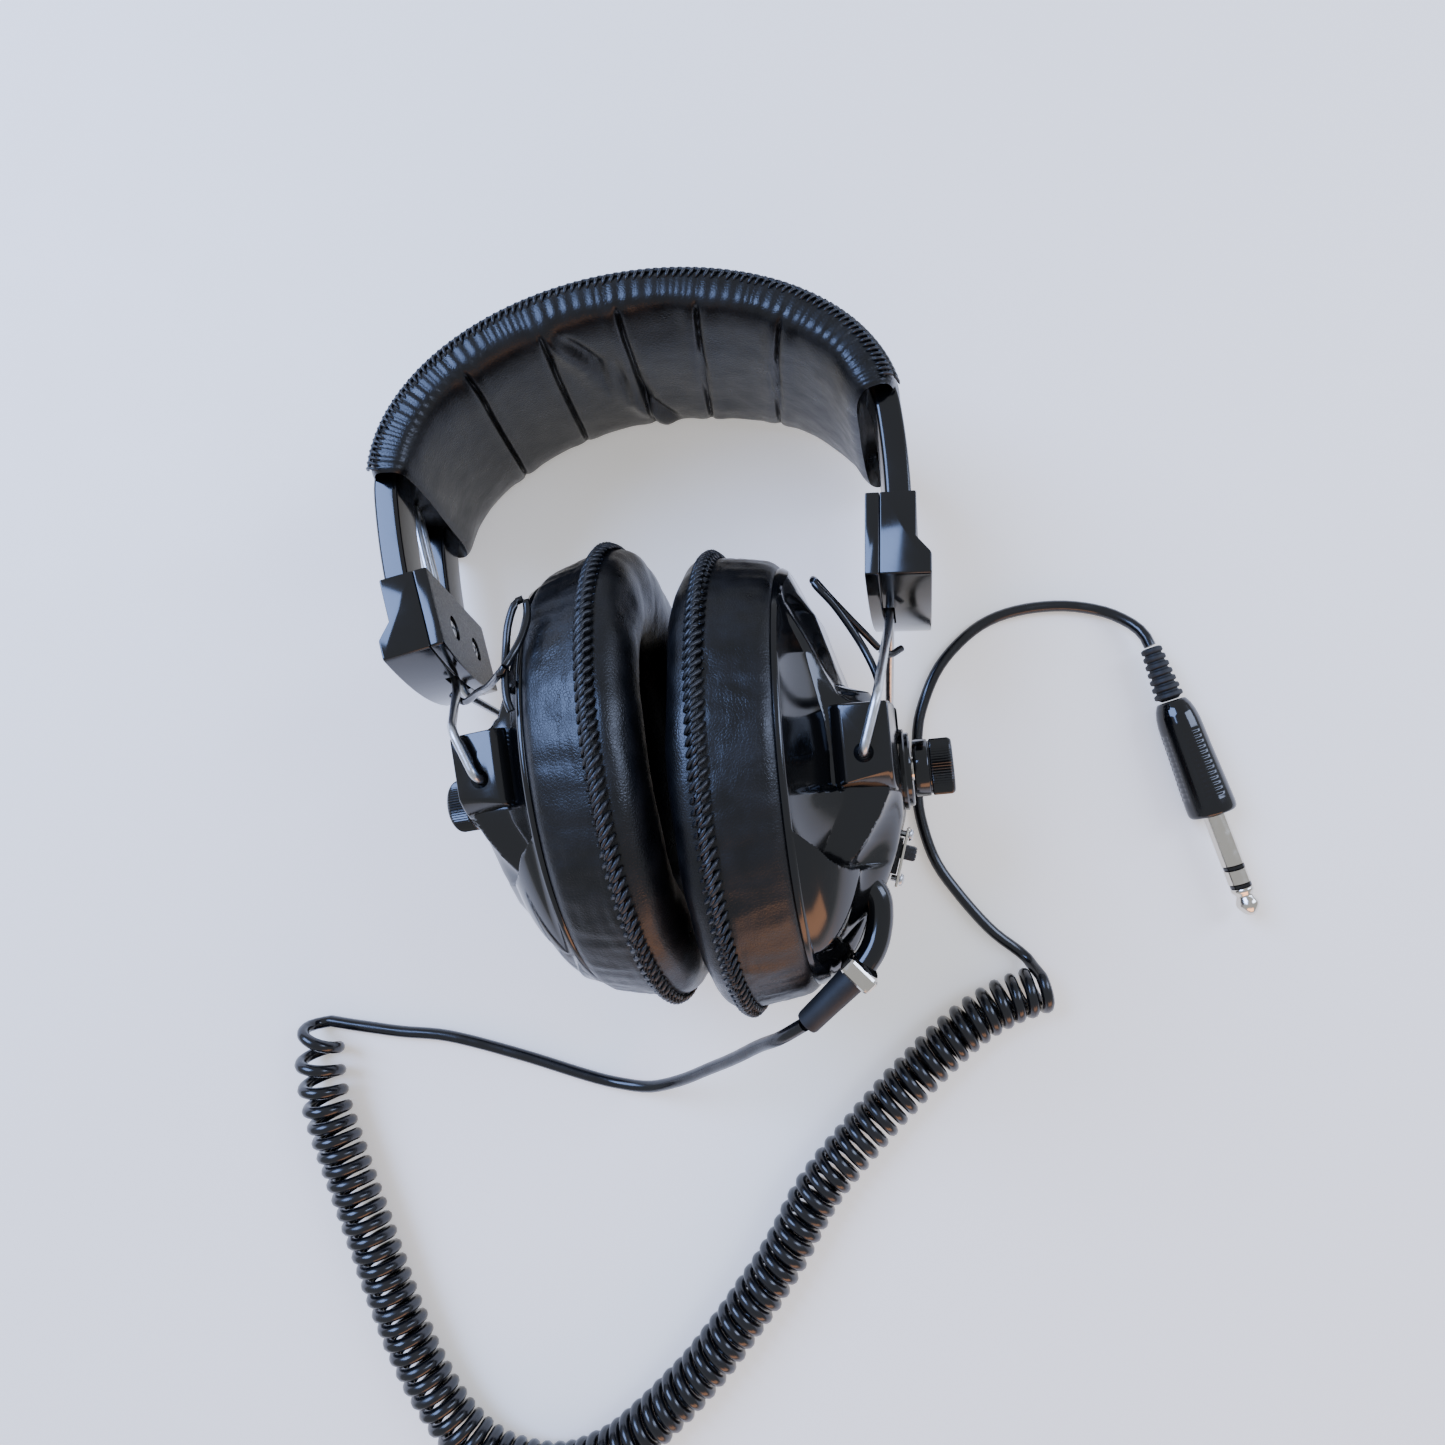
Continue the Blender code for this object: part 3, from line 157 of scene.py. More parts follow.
# one material for each slot, named for what it is
def makeMaterials():
    # ABS, injection moulded in a polished mould: deep black, sharp reflections, faint handling haze
    it = Surface("gloss_abs", "polished black ABS", "050608", 0.1, ior=1.54)
    haze = it.grain(14, 4)
    it.rough(haze, 0.07, 0.2)
    it.bump(it.grain(9, 2), 0.05, 0.25)

    # ABS, moulded against a spark-eroded mould: fine pits that spread the light to grey; that grey is also
    # painted into the colour, as painted sheen on the crowns and painted shade in the pits
    it = Surface("texture_abs", "spark-textured black ABS", "141518", 0.42, ior=1.54)
    pits = it.grain(0.55, 2)
    # painted sheen and painted shade: lighter where the pits' bump stands up, darker in its hollows
    it.twoTone(it.between(pits, 0, 1), "08090b", "1c1d21")
    it.rough(pits, 0.34, 0.52)
    it.bump(pits, 0.22, 0.9)

    # PVC leatherette, calendered with an embossed grain over soft foam: pebbles, creases and a low sheen
    it = Surface("leatherette", "embossed black leatherette", "0f1013", 0.34, ior=1.52)
    pebbles = it.cells(0.8)
    folds = it.grain(7, 5, (1, 1, 1.6))
    # painted shade: the colour darkens where the folds' bump is low, in the hollows of the folds
    it.twoTone(it.between(folds, 0, 1, 0.35, 0.75), "060709", "0e0f12")
    it.rough(folds, 0.26, 0.44)
    soft = it.bump(folds, 0.3, 0.3)
    it.bump(it.between(pebbles, 0, 1, 0.0, 0.25), 0.06, 0.5, soft)
    it.shader["Specular IOR Level"].default_value = 0.34
    it.shader["Coat Weight"].default_value = 0.12
    it.shader["Coat Roughness"].default_value = 0.25

    # waxed black thread, twisted: painted shade in the twist's grooves and a painted highlight on the crowns,
    # set by the same noise as the bump
    it = Surface("thread", "waxed black thread", "17181b", 0.38, ior=1.5)
    twist = it.grain(0.35, 2)
    it.twoTone(it.between(twist, 0, 1), "0e0f11", "26282c")
    it.bump(twist, 0.1, 0.6)

    # polyurethane foam, open celled
    it = Surface("foam", "open-cell foam", "1c1c1e", 0.95, ior=1.45)
    pores = it.cells(0.9, "F1")
    # painted shade: each pore darkens towards its middle, where the bump sinks deepest
    it.twoTone(it.between(pores, 0, 1, 0.1, 0.6), "0b0b0c", "2c2c2f")
    it.bump(pores, 0.35, 0.9)

    # spring steel wire, drawn bright: fine die lines along it
    it = Surface("steel", "bright drawn spring steel", "c4c6c8", 0.2, 1.0)
    lines = it.grain(0.5, 3, (1, 0.12, 1))
    it.rough(lines, 0.26, 0.42)
    it.bump(lines, 0.02, 0.4)

    # nickel plate on brass or steel: warm white, nearly a mirror, faint wipe marks
    it = Surface("nickel", "polished nickel plate", "d4cec2", 0.14, 1.0)
    marks = it.grain(2.4, 5, (1, 1, 3))
    it.rough(marks, 0.08, 0.24)
    it.bump(marks, 0.02, 0.3)

    # moulded rubber, matt with a dusty bloom
    it = Surface("rubber", "moulded matt rubber", "161617", 0.62, ior=1.52)
    bloom = it.grain(5, 5)
    it.twoTone(it.between(bloom, 0, 1), "111112", "1f1f20")
    it.bump(it.grain(0.6, 2), 0.06, 0.5)

    # PVC jacket, extruded: smooth and shiny, slightly wavy
    it = Surface("cord", "extruded black PVC", "0d0e11", 0.2, ior=1.53)
    wave = it.grain(6, 3)
    it.rough(wave, 0.14, 0.3)
    it.bump(wave, 0.12, 0.3)

    # aluminium cap, turned then satin finished: rings too fine to see, a soft grey
    it = Surface("grey_cap", "satin turned aluminium", "8a8b8c", 0.42, 0.9)
    it.rough(it.grain(0.6, 2), 0.36, 0.5)

    # sintered ferrite, ground: dull charcoal; and pressed paper pulp
    for slot, name, colour, rough, size, detail, depth, strength in (
        ("ferrite", "ground ferrite", "37383b", 0.6, 0.5, 3, 0.05, 0.5),
        ("paper_cone", "pressed paper pulp", "38352f", 0.9, 0.8, 5, 0.12, 0.7),
    ):
        it = Surface(slot, name, colour, rough)
        it.bump(it.grain(size, detail), depth, strength)


makeMaterials()
print("materials made")


# the finish of a piece, and the shapes that pieces are made from
def finishPiece(obj, body, finish, replaces=()):
    obj.data.materials.clear()
    obj.data.materials.append(materials[finish])
    if replaces:
        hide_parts(*replaces)
    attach(obj, body)
    return obj


def newObject(name, data):
    made = bpy.data.objects.new(name, data)
    bpy.context.scene.collection.objects.link(made)
    return made


def meshFrom(bm, name, sharp=35):
    bmesh.ops.recalc_face_normals(bm, faces=bm.faces)
    made = bpy.data.meshes.new(name)
    bm.to_mesh(made)
    bm.free()
    made.shade_smooth()
    made.set_sharp_from_angle(angle=radians(sharp))
    return made


# rows of points joined by quads
def gridInto(bm, rows, around=True, along=False, caps=False):
    loops = [[bm.verts.new(p) for p in row] for row in rows]
    pairs = list(zip(loops, loops[1:])) + ([(loops[-1], loops[0])] if along else [])
    for one, two in pairs:
        for i in range(len(one) if around else len(one) - 1):
            j = (i + 1) % len(one)
            bm.faces.new((one[i], one[j], two[j], two[i]))
    if caps:
        bm.faces.new(loops[0])
        bm.faces.new(loops[-1])
    return loops


def gridObject(name, rows, around=True, along=False, caps=False, sharp=35):
    bm = bmesh.new()
    gridInto(bm, rows, around, along, caps)
    return newObject(name, meshFrom(bm, name, sharp))


# rings of (radius, along +X) points; spread changes a radius by turn
def turnedRows(profile, place, steps=64, spread=None):
    rows = []
    for radius, x in profile:
        ring = []
        for i in range(steps):
            turn = 2 * pi * i / steps
            r = radius + (spread(x, turn, radius) if spread else 0.0)
            ring.append(place @ Vector((x, r * cos(turn), r * sin(turn))))
        rows.append(ring)
    return rows


def turnedObject(name, profile, place, steps=64, spread=None, closed=False, sharp=35):
    rows = turnedRows(profile, place, steps, spread)
    return gridObject(name, rows, along=closed, caps=not closed, sharp=sharp)


def inMm(profile):
    return [(radius * mm, x * mm) for radius, x in profile]


def turnedPiece(name, outline, place, steps, body, finish, node, spread=None, sharp=35):
    made = turnedObject(name, inMm(outline), place, steps, spread, sharp=sharp)
    return finishPiece(made, body, finish, replaces=(node,))


# a place at the start, with +X towards the end
def facing(start, end):
    return Matrix.Translation(start) @ (end - start).to_track_quat("X", "Z").to_matrix().to_4x4()


# a smooth curve from b to c that heeds the points on either side
def throughPoints(a, b, c, d, t):
    straight = 2 * b + (c - a) * t
    bent = (2 * a - 5 * b + 4 * c - d) * t**2 + (3 * b - a - 3 * c + d) * t**3
    return 0.5 * (straight + bent)


# a bend from a to b that is drawn towards the corner
def cornerBend(a, corner, b, t):
    return a * (1 - t) ** 2 + corner * 2 * t * (1 - t) + b * t**2


def smoothLine(points, step):
    points = [Vector(p) for p in points]
    held = [points[0] * 2 - points[1], *points, points[-1] * 2 - points[-2]]
    fine = []
    for a, b, c, d in zip(held, held[1:], held[2:], held[3:]):
        fine += [throughPoints(a, b, c, d, i / 24) for i in range(24)]
    fine.append(points[-1])
    return evenly(fine, max(2, round(lineLength(fine) / step)))


def lineLength(points):
    return sum((b - a).length for a, b in zip(points, points[1:]))


def evenly(points, count):
    whole = lineLength(points)
    made, gone, goal = [points[0]], 0.0, whole / count
    for a, b in zip(points, points[1:]):
        step = (b - a).length
        while gone + step >= goal - 1e-12 and len(made) < count:
            made.append(a.lerp(b, (goal - gone) / step))
            goal = whole / count * len(made)
        gone += step
    made.append(points[-1])
    return made


def cordCurve(name, points, diameter, resolution=4):
    data = bpy.data.curves.new(name, "CURVE")
    data.dimensions = "3D"
    data.bevel_depth = diameter / 2
    data.bevel_resolution = resolution
    data.use_fill_caps = True
    spline = data.splines.new("POLY")
    spline.points.add(len(points) - 1)
    for point, place in zip(spline.points, points):
        point.co = (*place, 1)
        point.radius = 1
    spline.use_smooth = True
    return newObject(name, data)


def tubeInto(bm, points, radius, sides=6, taper=True):
    rows = []
    for i, p in enumerate(points):
        along = (points[min(i + 1, len(points) - 1)] - points[max(i - 1, 0)]).normalized()
        side = along.orthogonal().normalized()
        up = along.cross(side)
        r = radius * (0.45 if taper and i in (0, len(points) - 1) else 1.0)
        rows.append([
            p + (side * cos(2 * pi * k / sides) + up * sin(2 * pi * k / sides)) * r
            for k in range(sides)
        ])
    gridInto(bm, rows, caps=True)


def rounded(obj, width, segments=3, angle=30):
    bevel = obj.modifiers.new("rounded edges", "BEVEL")
    bevel.width = width
    bevel.segments = segments
    bevel.limit_method = "ANGLE"
    bevel.angle_limit = radians(angle)
    bevel.harden_normals = False
    return obj


def easeBetween(a, b, x):
    t = min(1.0, max(0.0, (x - a) / (b - a)))
    return t * t * (3 - 2 * t)


# a bell of height 1, this wide at 1/e
def bell(x, width):
    return exp(-((x / width) ** 2))


def wavy(p, size, seed=0.0):
    return noise.noise(Vector(p) / size + Vector((seed, seed * 1.7, -seed)))


# the free cord, its routes in millimetres
cordSize = {
    "diameter": 3.5 * mm,
    "coilRadius": 5.45 * mm,
    "length": 3.1,
    "exit": (0.0205, -0.0981, 0.0621),
    "loosePitch": 8.6 * mm,
    "tightPitch": 4.35 * mm,
    "looseEnd": 34 * mm,
    "coilHeight": 7.4,
}
leadRoute = (
    (20.5, -98.1, 62.1), (14.4, -101.6, 57.4), (8.6, -104.9, 48.6), (1.1, -109.9, 37.4), (-6.9, -114.5, 26.4),
    (-17.1, -119.8, 14.4), (-27.3, -122.6, 6.4), (-36.8, -121.4, 2.8), (-45.8, -118.4, 1.9),
    (-66.4, -109.3, 1.9), (-87.3, -101.2, 1.9), (-102.6, -97.8, 1.9), (-116.9, -94, 1.9),
)
# the coil's middle, at one height
coilRoute = (
    (-123.6, -92), (-125.6, -100.5), (-125.2, -114.8), (-120.4, -135.7), (-115.3, -155.8),
    (-110.2, -176), (-103.9, -195.2), (-94.5, -212.8), (-82, -223), (-66, -227),
    (-51, -223.5), (-39.6, -216.8), (-22.9, -204.1), (-8.3, -189.8), (5.6, -174.5), (18, -158),
    (33.1, -143.8), (48.9, -130.5), (65.9, -118.1), (79, -111.6), (92, -108.4),
)
tailRoute = (
    (90.6, -102.4, 4.6), (89.4, -99.8, 2.6), (87.4, -97.6, 1.9), (80.3, -90.4, 1.9), (72.5, -78.6, 1.9),
    (67.1, -67.8, 1.9), (64.8, -55.3, 1.9), (65, -46.1, 1.9), (67.2, -31.2, 1.9), (69.9, -22, 1.9),
    (76.6, -10.4, 1.9), (85.6, -2.2, 1.9), (95, 2.7, 1.9), (106.1, 4.5, 1.9), (118.3, 3.7, 1.9),
    (129, 0.4, 2.3), (135.4, -4.2, 4.2), (138.4, -8.6, 6.4), (139.55, -12.8, 7.1),
)


def scaled(points):
    return [Vector(p) * mm for p in points]


def coilPitch(gone):
    loose, tight = cordSize["loosePitch"], cordSize["tightPitch"]
    return loose + (tight - loose) * easeBetween(0, cordSize["looseEnd"], gone)


# the helix round the coil's middle line, its first turns loose
def coiledLine():
    line = smoothLine(scaled((x, y, cordSize["coilHeight"]) for x, y in coilRoute), 0.5 * mm)
    phase, made, up = -0.5 * pi, [], Vector((0, 0, 1))
    step = lineLength(line) / (len(line) - 1)
    turns, shares = 0.0, 4  # shares of a step that each get a point
    for i in range(len(line)):
        turns += step / coilPitch(i * step)
    fit = (round(turns - 0.75) + 0.75) / turns  # leaves at the side that the tail starts from
    for i, p in enumerate(line):
        ahead = (line[min(i + 1, len(line) - 1)] - line[max(i - 1, 0)]).normalized()
        side = ahead.cross(up).normalized()
        turn = 2 * pi * step / coilPitch(i * step) * fit
        for k in range(shares):
            if i == len(line) - 1 and k:
                break
            here = p + ahead * step * k / shares
            angle = phase + turn * k / shares
            r = cordSize["coilRadius"] * (1 + 0.03 * wavy(here, 9 * mm, 3.0))
            made.append(here + (side * cos(angle) + up * sin(angle)) * r)
        phase += turn
    return made, turns * fit


def makeCord():
    lead = smoothLine(scaled(leadRoute), 3 * mm)
    coil, turns = coiledLine()
    tail = smoothLine(scaled(tailRoute), 3 * mm)
    points = [*lead, *coil, *tail]
    low = cordSize["diameter"] / 2 + 0.1 * mm
    points = [Vector((p.x, p.y, max(p.z, low))) for p in points]
    cord = cordCurve("curly_cord", points, cordSize["diameter"], 3)
    print("cord length", round(lineLength(points), 3), "turns", round(turns, 1))
    return finishPiece(cord, "cup_right", "cord", replaces=("cord_lead", "cord_coil", "cord_tail"))


# the plug, its lengths measured from the back of its boot
plugSize = {
    "tip": Vector((155.3, -95.5, 7.1)) * mm,
    "back": Vector((139.6, -13.1, 7.1)) * mm,
    "boot": 17.2 * mm,
    "grip": 35.4 * mm,
    "ribs": 7,
    "ribbedLength": 16.4,  # mm
    "metal": 3.175, "plastic": 3.02,  # radii, mm
    "gripPanels": 4,
    "ribPitch": 1.6 * mm,
}


def makePlug():
    start, tip = plugSize["back"], plugSize["tip"]
    place = facing(start, tip)
    boot, step = [(1.9, 0.2)], plugSize["ribbedLength"] / plugSize["ribs"]
    for i in range(plugSize["ribs"]):
        radius = 2.9 + 1.2 * (i + 1) / plugSize["ribs"]
        x = 0.3 + plugSize["ribbedLength"] * i / plugSize["ribs"]
        boot += [(0.78 * radius, x), (0.95 * radius, x + 0.12 * step), (radius, x + 0.25 * step)]
        boot += [(radius, x + 0.6 * step), (0.94 * radius, x + 0.72 * step), (0.78 * radius, x + 0.8 * step)]
    boot.append((2.4, 16.9))
    pieces = [turnedPiece("plug_boot_ribbed", boot, place, 40, "cup_right", "rubber", "plug_boot")]

    end = (plugSize["boot"] + plugSize["grip"]) / mm
    outline = (
        (2.2, 17.2), (3.9, 17.25), (4.3, 17.6), (5.1, 19.2), (5.7, 21.4), (6.05, 24), (6.15, 26.5),
        (6.2, 29), (6.3, 33), (6.45, 37), (6.6, 41), (6.75, 45), (6.85, 48), (6.9, 49.6), (6.88, 51),
        (6.75, 51.8), (6.45, 52.3), (6.1, 52.55), (3.3, 52.6),
    )
    fine = []
    for (r0, x0), (r1, x1) in zip(outline, outline[1:]):
        parts = max(1, round((x1 - x0) / 0.32))
        fine += [(r0 + (r1 - r0) * k / parts, x0 + (x1 - x0) * k / parts) for k in range(parts)]
    fine.append(outline[-1])

    def ribbed(x, turn, radius):
        # panels of fine ribs round the grip
        inside = easeBetween(0.1, 0.3, cos(turn * plugSize["gripPanels"]))
        inside = inside * easeBetween(26 * mm, 27 * mm, x) * (1 - easeBetween(47 * mm, 48 * mm, x))
        return -inside * (0.18 * mm + 0.16 * mm * cos(2 * pi * x / plugSize["ribPitch"]))

    grip = "cup_right", "gloss_abs", "plug_grip"
    pieces.append(turnedPiece("plug_grip_moulded", fine, place, 96, *grip, ribbed, sharp=60))

    whole = (tip - start).length / mm
    tipStart = whole - 8.6
    ringEnd = tipStart - 1.2
    sleeveEnd = ringEnd - 4.4 - 1.2
    metal, plastic = plugSize["metal"], plugSize["plastic"]
    bars = {
        "plug_sleeve_turned": ("plug_sleeve", end + 0.3, sleeveEnd, metal, "nickel"),
        "plug_insulator_rear_ring": ("plug_insulator_rear", sleeveEnd, ringEnd - 4.4, plastic, "gloss_abs"),
        "plug_ring_turned": ("plug_ring", ringEnd - 4.4, ringEnd, metal, "nickel"),
        "plug_insulator_front_ring": ("plug_insulator_front", ringEnd, tipStart, plastic, "gloss_abs"),
    }
    for name, (node, x0, x1, r, finish) in bars.items():
        outline = [(r - 0.3, x0), (r, x0 + 0.18), (r, x1 - 0.18), (r - 0.3, x1)]
        pieces.append(turnedPiece(name, outline, place, 56, "cup_right", finish, node))
    outline = [
        (2.9, 0), (3.175, 0.2), (3.175, 0.95), (3.1, 1.15), (2.7, 1.75), (2.36, 2.25), (2.3, 2.5),
        (2.4, 2.85),
        (2.8, 3.7), (3.1, 4.5), (3.175, 5.05), (3.12, 5.5), (2.75, 6.3), (2.2, 7.2), (1.6, 7.95), (0.9, 8.4),
        (0.3, 8.57),
    ]
    outline, end = [(r, tipStart + x) for r, x in outline], ("cup_right", "nickel", "plug_tip")
    pieces.append(turnedPiece("plug_tip_turned", outline, place, 56, *end, sharp=60))
    return pieces


cord = makeCord()
plugPieces = makePlug()
print("cord and plug made")


# the headband, in millimetres, with turns in degrees
band = {
    "halfSpan": 67.0, "toe": 0.085, "springLine": 78.0, "rise": 43.5, "legCurve": 2.4,
    "beamWidth": 12.5, "beamThick": 6.4, "beamOffset": 20.5, "beamCorner": 1.1, "bottom": 43.5,
}
sleeve = {
    "width": 65.0, "out": 5.6, "inside": 9.0, "start": 5.0,
    # turns at the near and far ends
    "creases": ((131.6, 131.4), (109.2, 109.4), (88.6, 89.6), (68.7, 73.9), (45, 53.2)),
    "fold": (105.9, 81.1),
    "creaseDepth": 1.5, "creaseWidth": 0.6,
    "stitchStep": 4.3, "stitchRadius": 0.42,
}


def halfSpanAt(across):
    return band["halfSpan"] - band["toe"] * across


# a place on the band in millimetres, turn in degrees from the right spring line over the top
def bandPoint(turn, out, across):
    t = radians(turn)
    span = halfSpanAt(across)
    normal = Vector((cos(t) * band["rise"], sin(t) * band["halfSpan"])).normalized()
    x = span * cos(t) + normal.x * out
    y = band["springLine"] + band["rise"] * sin(t) + normal.y * out
    return bandPlace @ (Vector((x, y, across)) * mm)


def legX(height, span):
    below = max(0.0, band["springLine"] - height)
    return span - band["legCurve"] * below**2 * mm


# (x, y) points up the right leg, over the arch and down the left leg
def bandLine(span, bottom, legParts, archParts):
    heights = [bottom + (band["springLine"] - bottom) * i / legParts for i in range(legParts)]
    leg = [(legX(h, span), h) for h in heights]
    turns = [pi * i / archParts for i in range(archParts + 1)]
    arch = [(span * cos(t), band["springLine"] + band["rise"] * sin(t)) for t in turns]
    return leg + arch + [(-x, y) for x, y in reversed(leg)]


def makeBeams():
    corner = band["beamCorner"]
    halfThick, halfWide = band["beamThick"] / 2 - corner, band["beamWidth"] / 2 - corner
    section = []
    for cx, cz, first in ((1, 1, 0), (-1, 1, 90), (-1, -1, 180), (1, -1, 270)):
        for k in range(5):
            a = radians(first + 22.5 * k)
            section.append((cx * halfThick + corner * cos(a), cz * halfWide + corner * sin(a)))
    for end, sign in (("near", 1), ("far", -1)):
        across = sign * band["beamOffset"]
        line = [Vector(p) for p in bandLine(halfSpanAt(across), band["bottom"], 12, 90)]
        rows = []
        for i, p in enumerate(line):
            along = (line[min(i + 1, len(line) - 1)] - line[max(i - 1, 0)]).normalized()
            normal = Vector((along.y, -along.x))
            rows.append([
                bandPlace @ (Vector((p.x + normal.x * o, p.y + normal.y * o, across + z)) * mm)
                for o, z in section
            ])
        made = gridObject("beam_" + end, rows, caps=True)
        finishPiece(made, "headband", "gloss_abs", replaces=("headband_beam_" + end,))


# a crease's turn at a distance across the sleeve
def creaseTurn(crease, across):
    share = 0.5 - across / sleeve["width"]
    return crease[0] + (crease[1] - crease[0]) * share


def makeSleeve():
    steps, parts = 560, 84
    halfWidth = sleeve["width"] / 2
    middle = (sleeve["out"] - sleeve["inside"]) / 2
    halfThick = (sleeve["out"] + sleeve["inside"]) / 2
    rows = []
    for i in range(steps + 1):
        turn = sleeve["start"] + (180 - 2 * sleeve["start"]) * i / steps
        atEnd = min(turn - sleeve["start"], 180 - sleeve["start"] - turn)
        row = []
        for k in range(parts):
            a = 2 * pi * k / parts
            ca, sa = cos(a), sin(a)
            across = halfWidth * copysign(abs(sa) ** 0.42, sa)
            out = halfThick * copysign(abs(ca) ** 0.62, ca)
            toEdge = abs(across) / halfWidth
            depth = 0.0
            for crease in sleeve["creases"]:
                gap = turn - creaseTurn(crease, across)
                gap += 0.6 * wavy((across, crease[0], 0), 15, 2)
                weld = sleeve["creaseDepth"] * bell(gap, sleeve["creaseWidth"])
                depth += weld * easeBetween(0, 0.16, 1 - toEdge)
                depth -= 0.4 * bell(abs(gap) - 2.6, 2.2)  # the foam stands up beside a weld
            gap = turn - creaseTurn(sleeve["fold"], across)
            depth += 2.3 * bell(gap, 1.5) * easeBetween(-0.95, -0.55, -toEdge)
            depth -= 1.3 * bell(gap - 3.6, 2.4)
            side = 1.0 if ca < 0 else 0.45  # the head side is the soft one
            p = (turn, across, 8 * ca)
            puff = 0.8 * wavy(p, 21, 1) + 0.22 * wavy(p, 8, 4)
            sunk = depth * side * min(1, abs(ca) * 1.6) - puff * side * min(1, abs(ca) * 1.4)
            out = out - copysign(1, ca) * sunk
            scallop = 0.12 * cos(2 * pi * turn * 1.35 / sleeve["stitchStep"])
            scallop = scallop * easeBetween(0.93, 1.0, toEdge) + 0.7 * wavy((turn, 0, 0), 21, 6)
            across += copysign(scallop, across) * easeBetween(0.7, 1, toEdge)
            pull = 1 - 0.25 * exp(-atEnd / 2.2)
            row.append(bandPoint(turn, middle + out * pull, across * (1 - 0.03 * exp(-atEnd / 3))))
        rows.append(row)
    # the ends have a turned-in hem and are closed with flat caps
    hemmed = []
    for end, within in ((rows[0], rows[12]), (rows[-1], rows[-13])):
        centre = sum(end, Vector()) / len(end)
        inward = (within[0] - end[0]).normalized()
        hemmed.append([p + (centre - p).normalized() * 1.3 * mm + inward * 4 * mm for p in end])
    made = gridObject("padded_sleeve", [hemmed[0], *rows, hemmed[1]], caps=True, sharp=70)
    finishPiece(made, "headband", "leatherette", replaces=("headband_sleeve", "headband_foam"))


# a thread whipped over both long edges, each stitch leaning the same way
def makeLacing():
    bm = bmesh.new()
    count = 92
    halfWidth = sleeve["width"] / 2
    middle = (sleeve["out"] - sleeve["inside"]) / 2
    halfThick = (sleeve["out"] + sleeve["inside"]) / 2

    def onEdge(turn, a, edge, lift):
        out = middle + halfThick * cos(a) ** 0.62 + lift * cos(a)
        return bandPoint(turn, out, edge * (halfWidth * sin(a) ** 0.42 + lift * sin(a)))

    for edge in (1, -1):
        rail = []
        for i in range(count * 2 + 1):
            turn = sleeve["start"] + 1.5 + (177 - 2 * sleeve["start"]) * i / (count * 2)
            rail.append(onEdge(turn, radians(64), edge, 0.5))
            if i % 2:
                continue
            stitch = []
            for k in range(9):
                a = radians(44 + 40 * k / 8)
                lift = 0.15 + 0.65 * sin(pi * k / 8)
                jitter = 0.18 * wavy((i, edge * 5, k), 2.0, 3)
                stitch.append(onEdge(turn + 1.15 * (k / 4 - 1) + jitter, a, edge, lift))
            tubeInto(bm, stitch, sleeve["stitchRadius"] * mm, 6)
        tubeInto(bm, rail, 0.5 * mm, 6)
    made = newObject("sleeve_lacing", meshFrom(bm, "sleeve_lacing", 80))
    finishPiece(made, "headband", "thread")


def makeCrossover():
    across, bottom, diameter = 11.0, 56.2, 2.2
    line = bandLine(halfSpanAt(across), bottom, 8, 60)
    points = [bandPlace @ (Vector((x, y, across)) * mm) for x, y in line]
    made = cordCurve("crossover_wire", points, diameter * mm, 3)
    finishPiece(made, "headband", "cord", replaces=("crossover_lead",))


makeBeams()
makeSleeve()
makeLacing()
makeCrossover()
print("headband made")


# slider blocks, screws and yokes, in millimetres
block = {
    "top": 55.5, "height": 21.0, "width": 54.0, "inner": 3.6, "outer": 8.8, "step": 3.6, "bow": 3.0,
    "lean": 9.0, "twist": 4.9, "seam": 4.0, "screwApart": 21.0, "screwBelow": 12.0, "screwRadius": 2.6,
}
sides = {"right": 1, "left": -1}


def blockPlace(side):
    sign = sides[side]
    x = sign * legX(block["top"], band["halfSpan"])
    local = move(x, block["top"], 0) @ turnAbout(180 if side == "left" else 0, "Y")
    return bandPlace @ local @ turnAbout(-block["lean"], "Z") @ turnAbout(-sign * block["twist"], "Y")


# a closed outline with each corner rounded
def roundedOutline(corners, radius, steps=4):
    points = [Vector(p) for p in corners]
    made = []
    for i, corner in enumerate(points):
        before, after = points[i - 1], points[(i + 1) % len(points)]
        reach = min(radius, 0.42 * (before - corner).length, 0.42 * (after - corner).length)
        a = corner + (before - corner).normalized() * reach
        b = corner + (after - corner).normalized() * reach
        made += [cornerBend(a, corner, b, k / steps) for k in range(steps + 1)]
    return made


def blockRows(half, place):
    steps = 28
    wide = block["width"]
    rows = []
    for i in range(-3, steps + 4):
        share = min(max(i, 0), steps) / steps
        across = -wide / 2 + wide * share
        # each end rounds off over its last 0.9 mm
        beyond = max(-i, i - steps, 0)
        shrink, past = ((0.0, 0.9), (0.18, 0.35), (0.55, 0.08), (1.0, 0.0))[beyond]
        if beyond or i in (0, steps):
            across = copysign(wide / 2 - past, across)
        low = -block["height"] - block["bow"] * (1 - (2 * across / wide) ** 2)
        s, inner, step = block["seam"], block["inner"], block["step"]
        out = block["outer"] - s
        crown = 1.2 * (1 - (2 * across / wide) ** 2)  # the outer face is a little rounded
        if half == "inner":
            corners = ((-s - 0.05, 0), (-s - 0.05, low), (-s - inner, low), (-s - inner, 0))
        else:
            stepEnd, stepStart = -0.76 * block["height"], -0.56 * block["height"]
            corners = ((-s, 0), (-s, low), (out + step, low), (out + step, stepEnd))
            corners += ((out + crown * 0.5, stepStart), (out, 0))
        outline = roundedOutline(corners, 0.4, 4)
        centre = sum(outline, Vector((0, 0))) / len(outline)
        ring = []
        for p in outline:
            q = p + Vector([copysign(min(abs(d), 0.3 * shrink), d) for d in centre - p])
            ring.append(place @ (Vector((q.x, q.y, across)) * mm))
        rows.append(ring)
    return rows


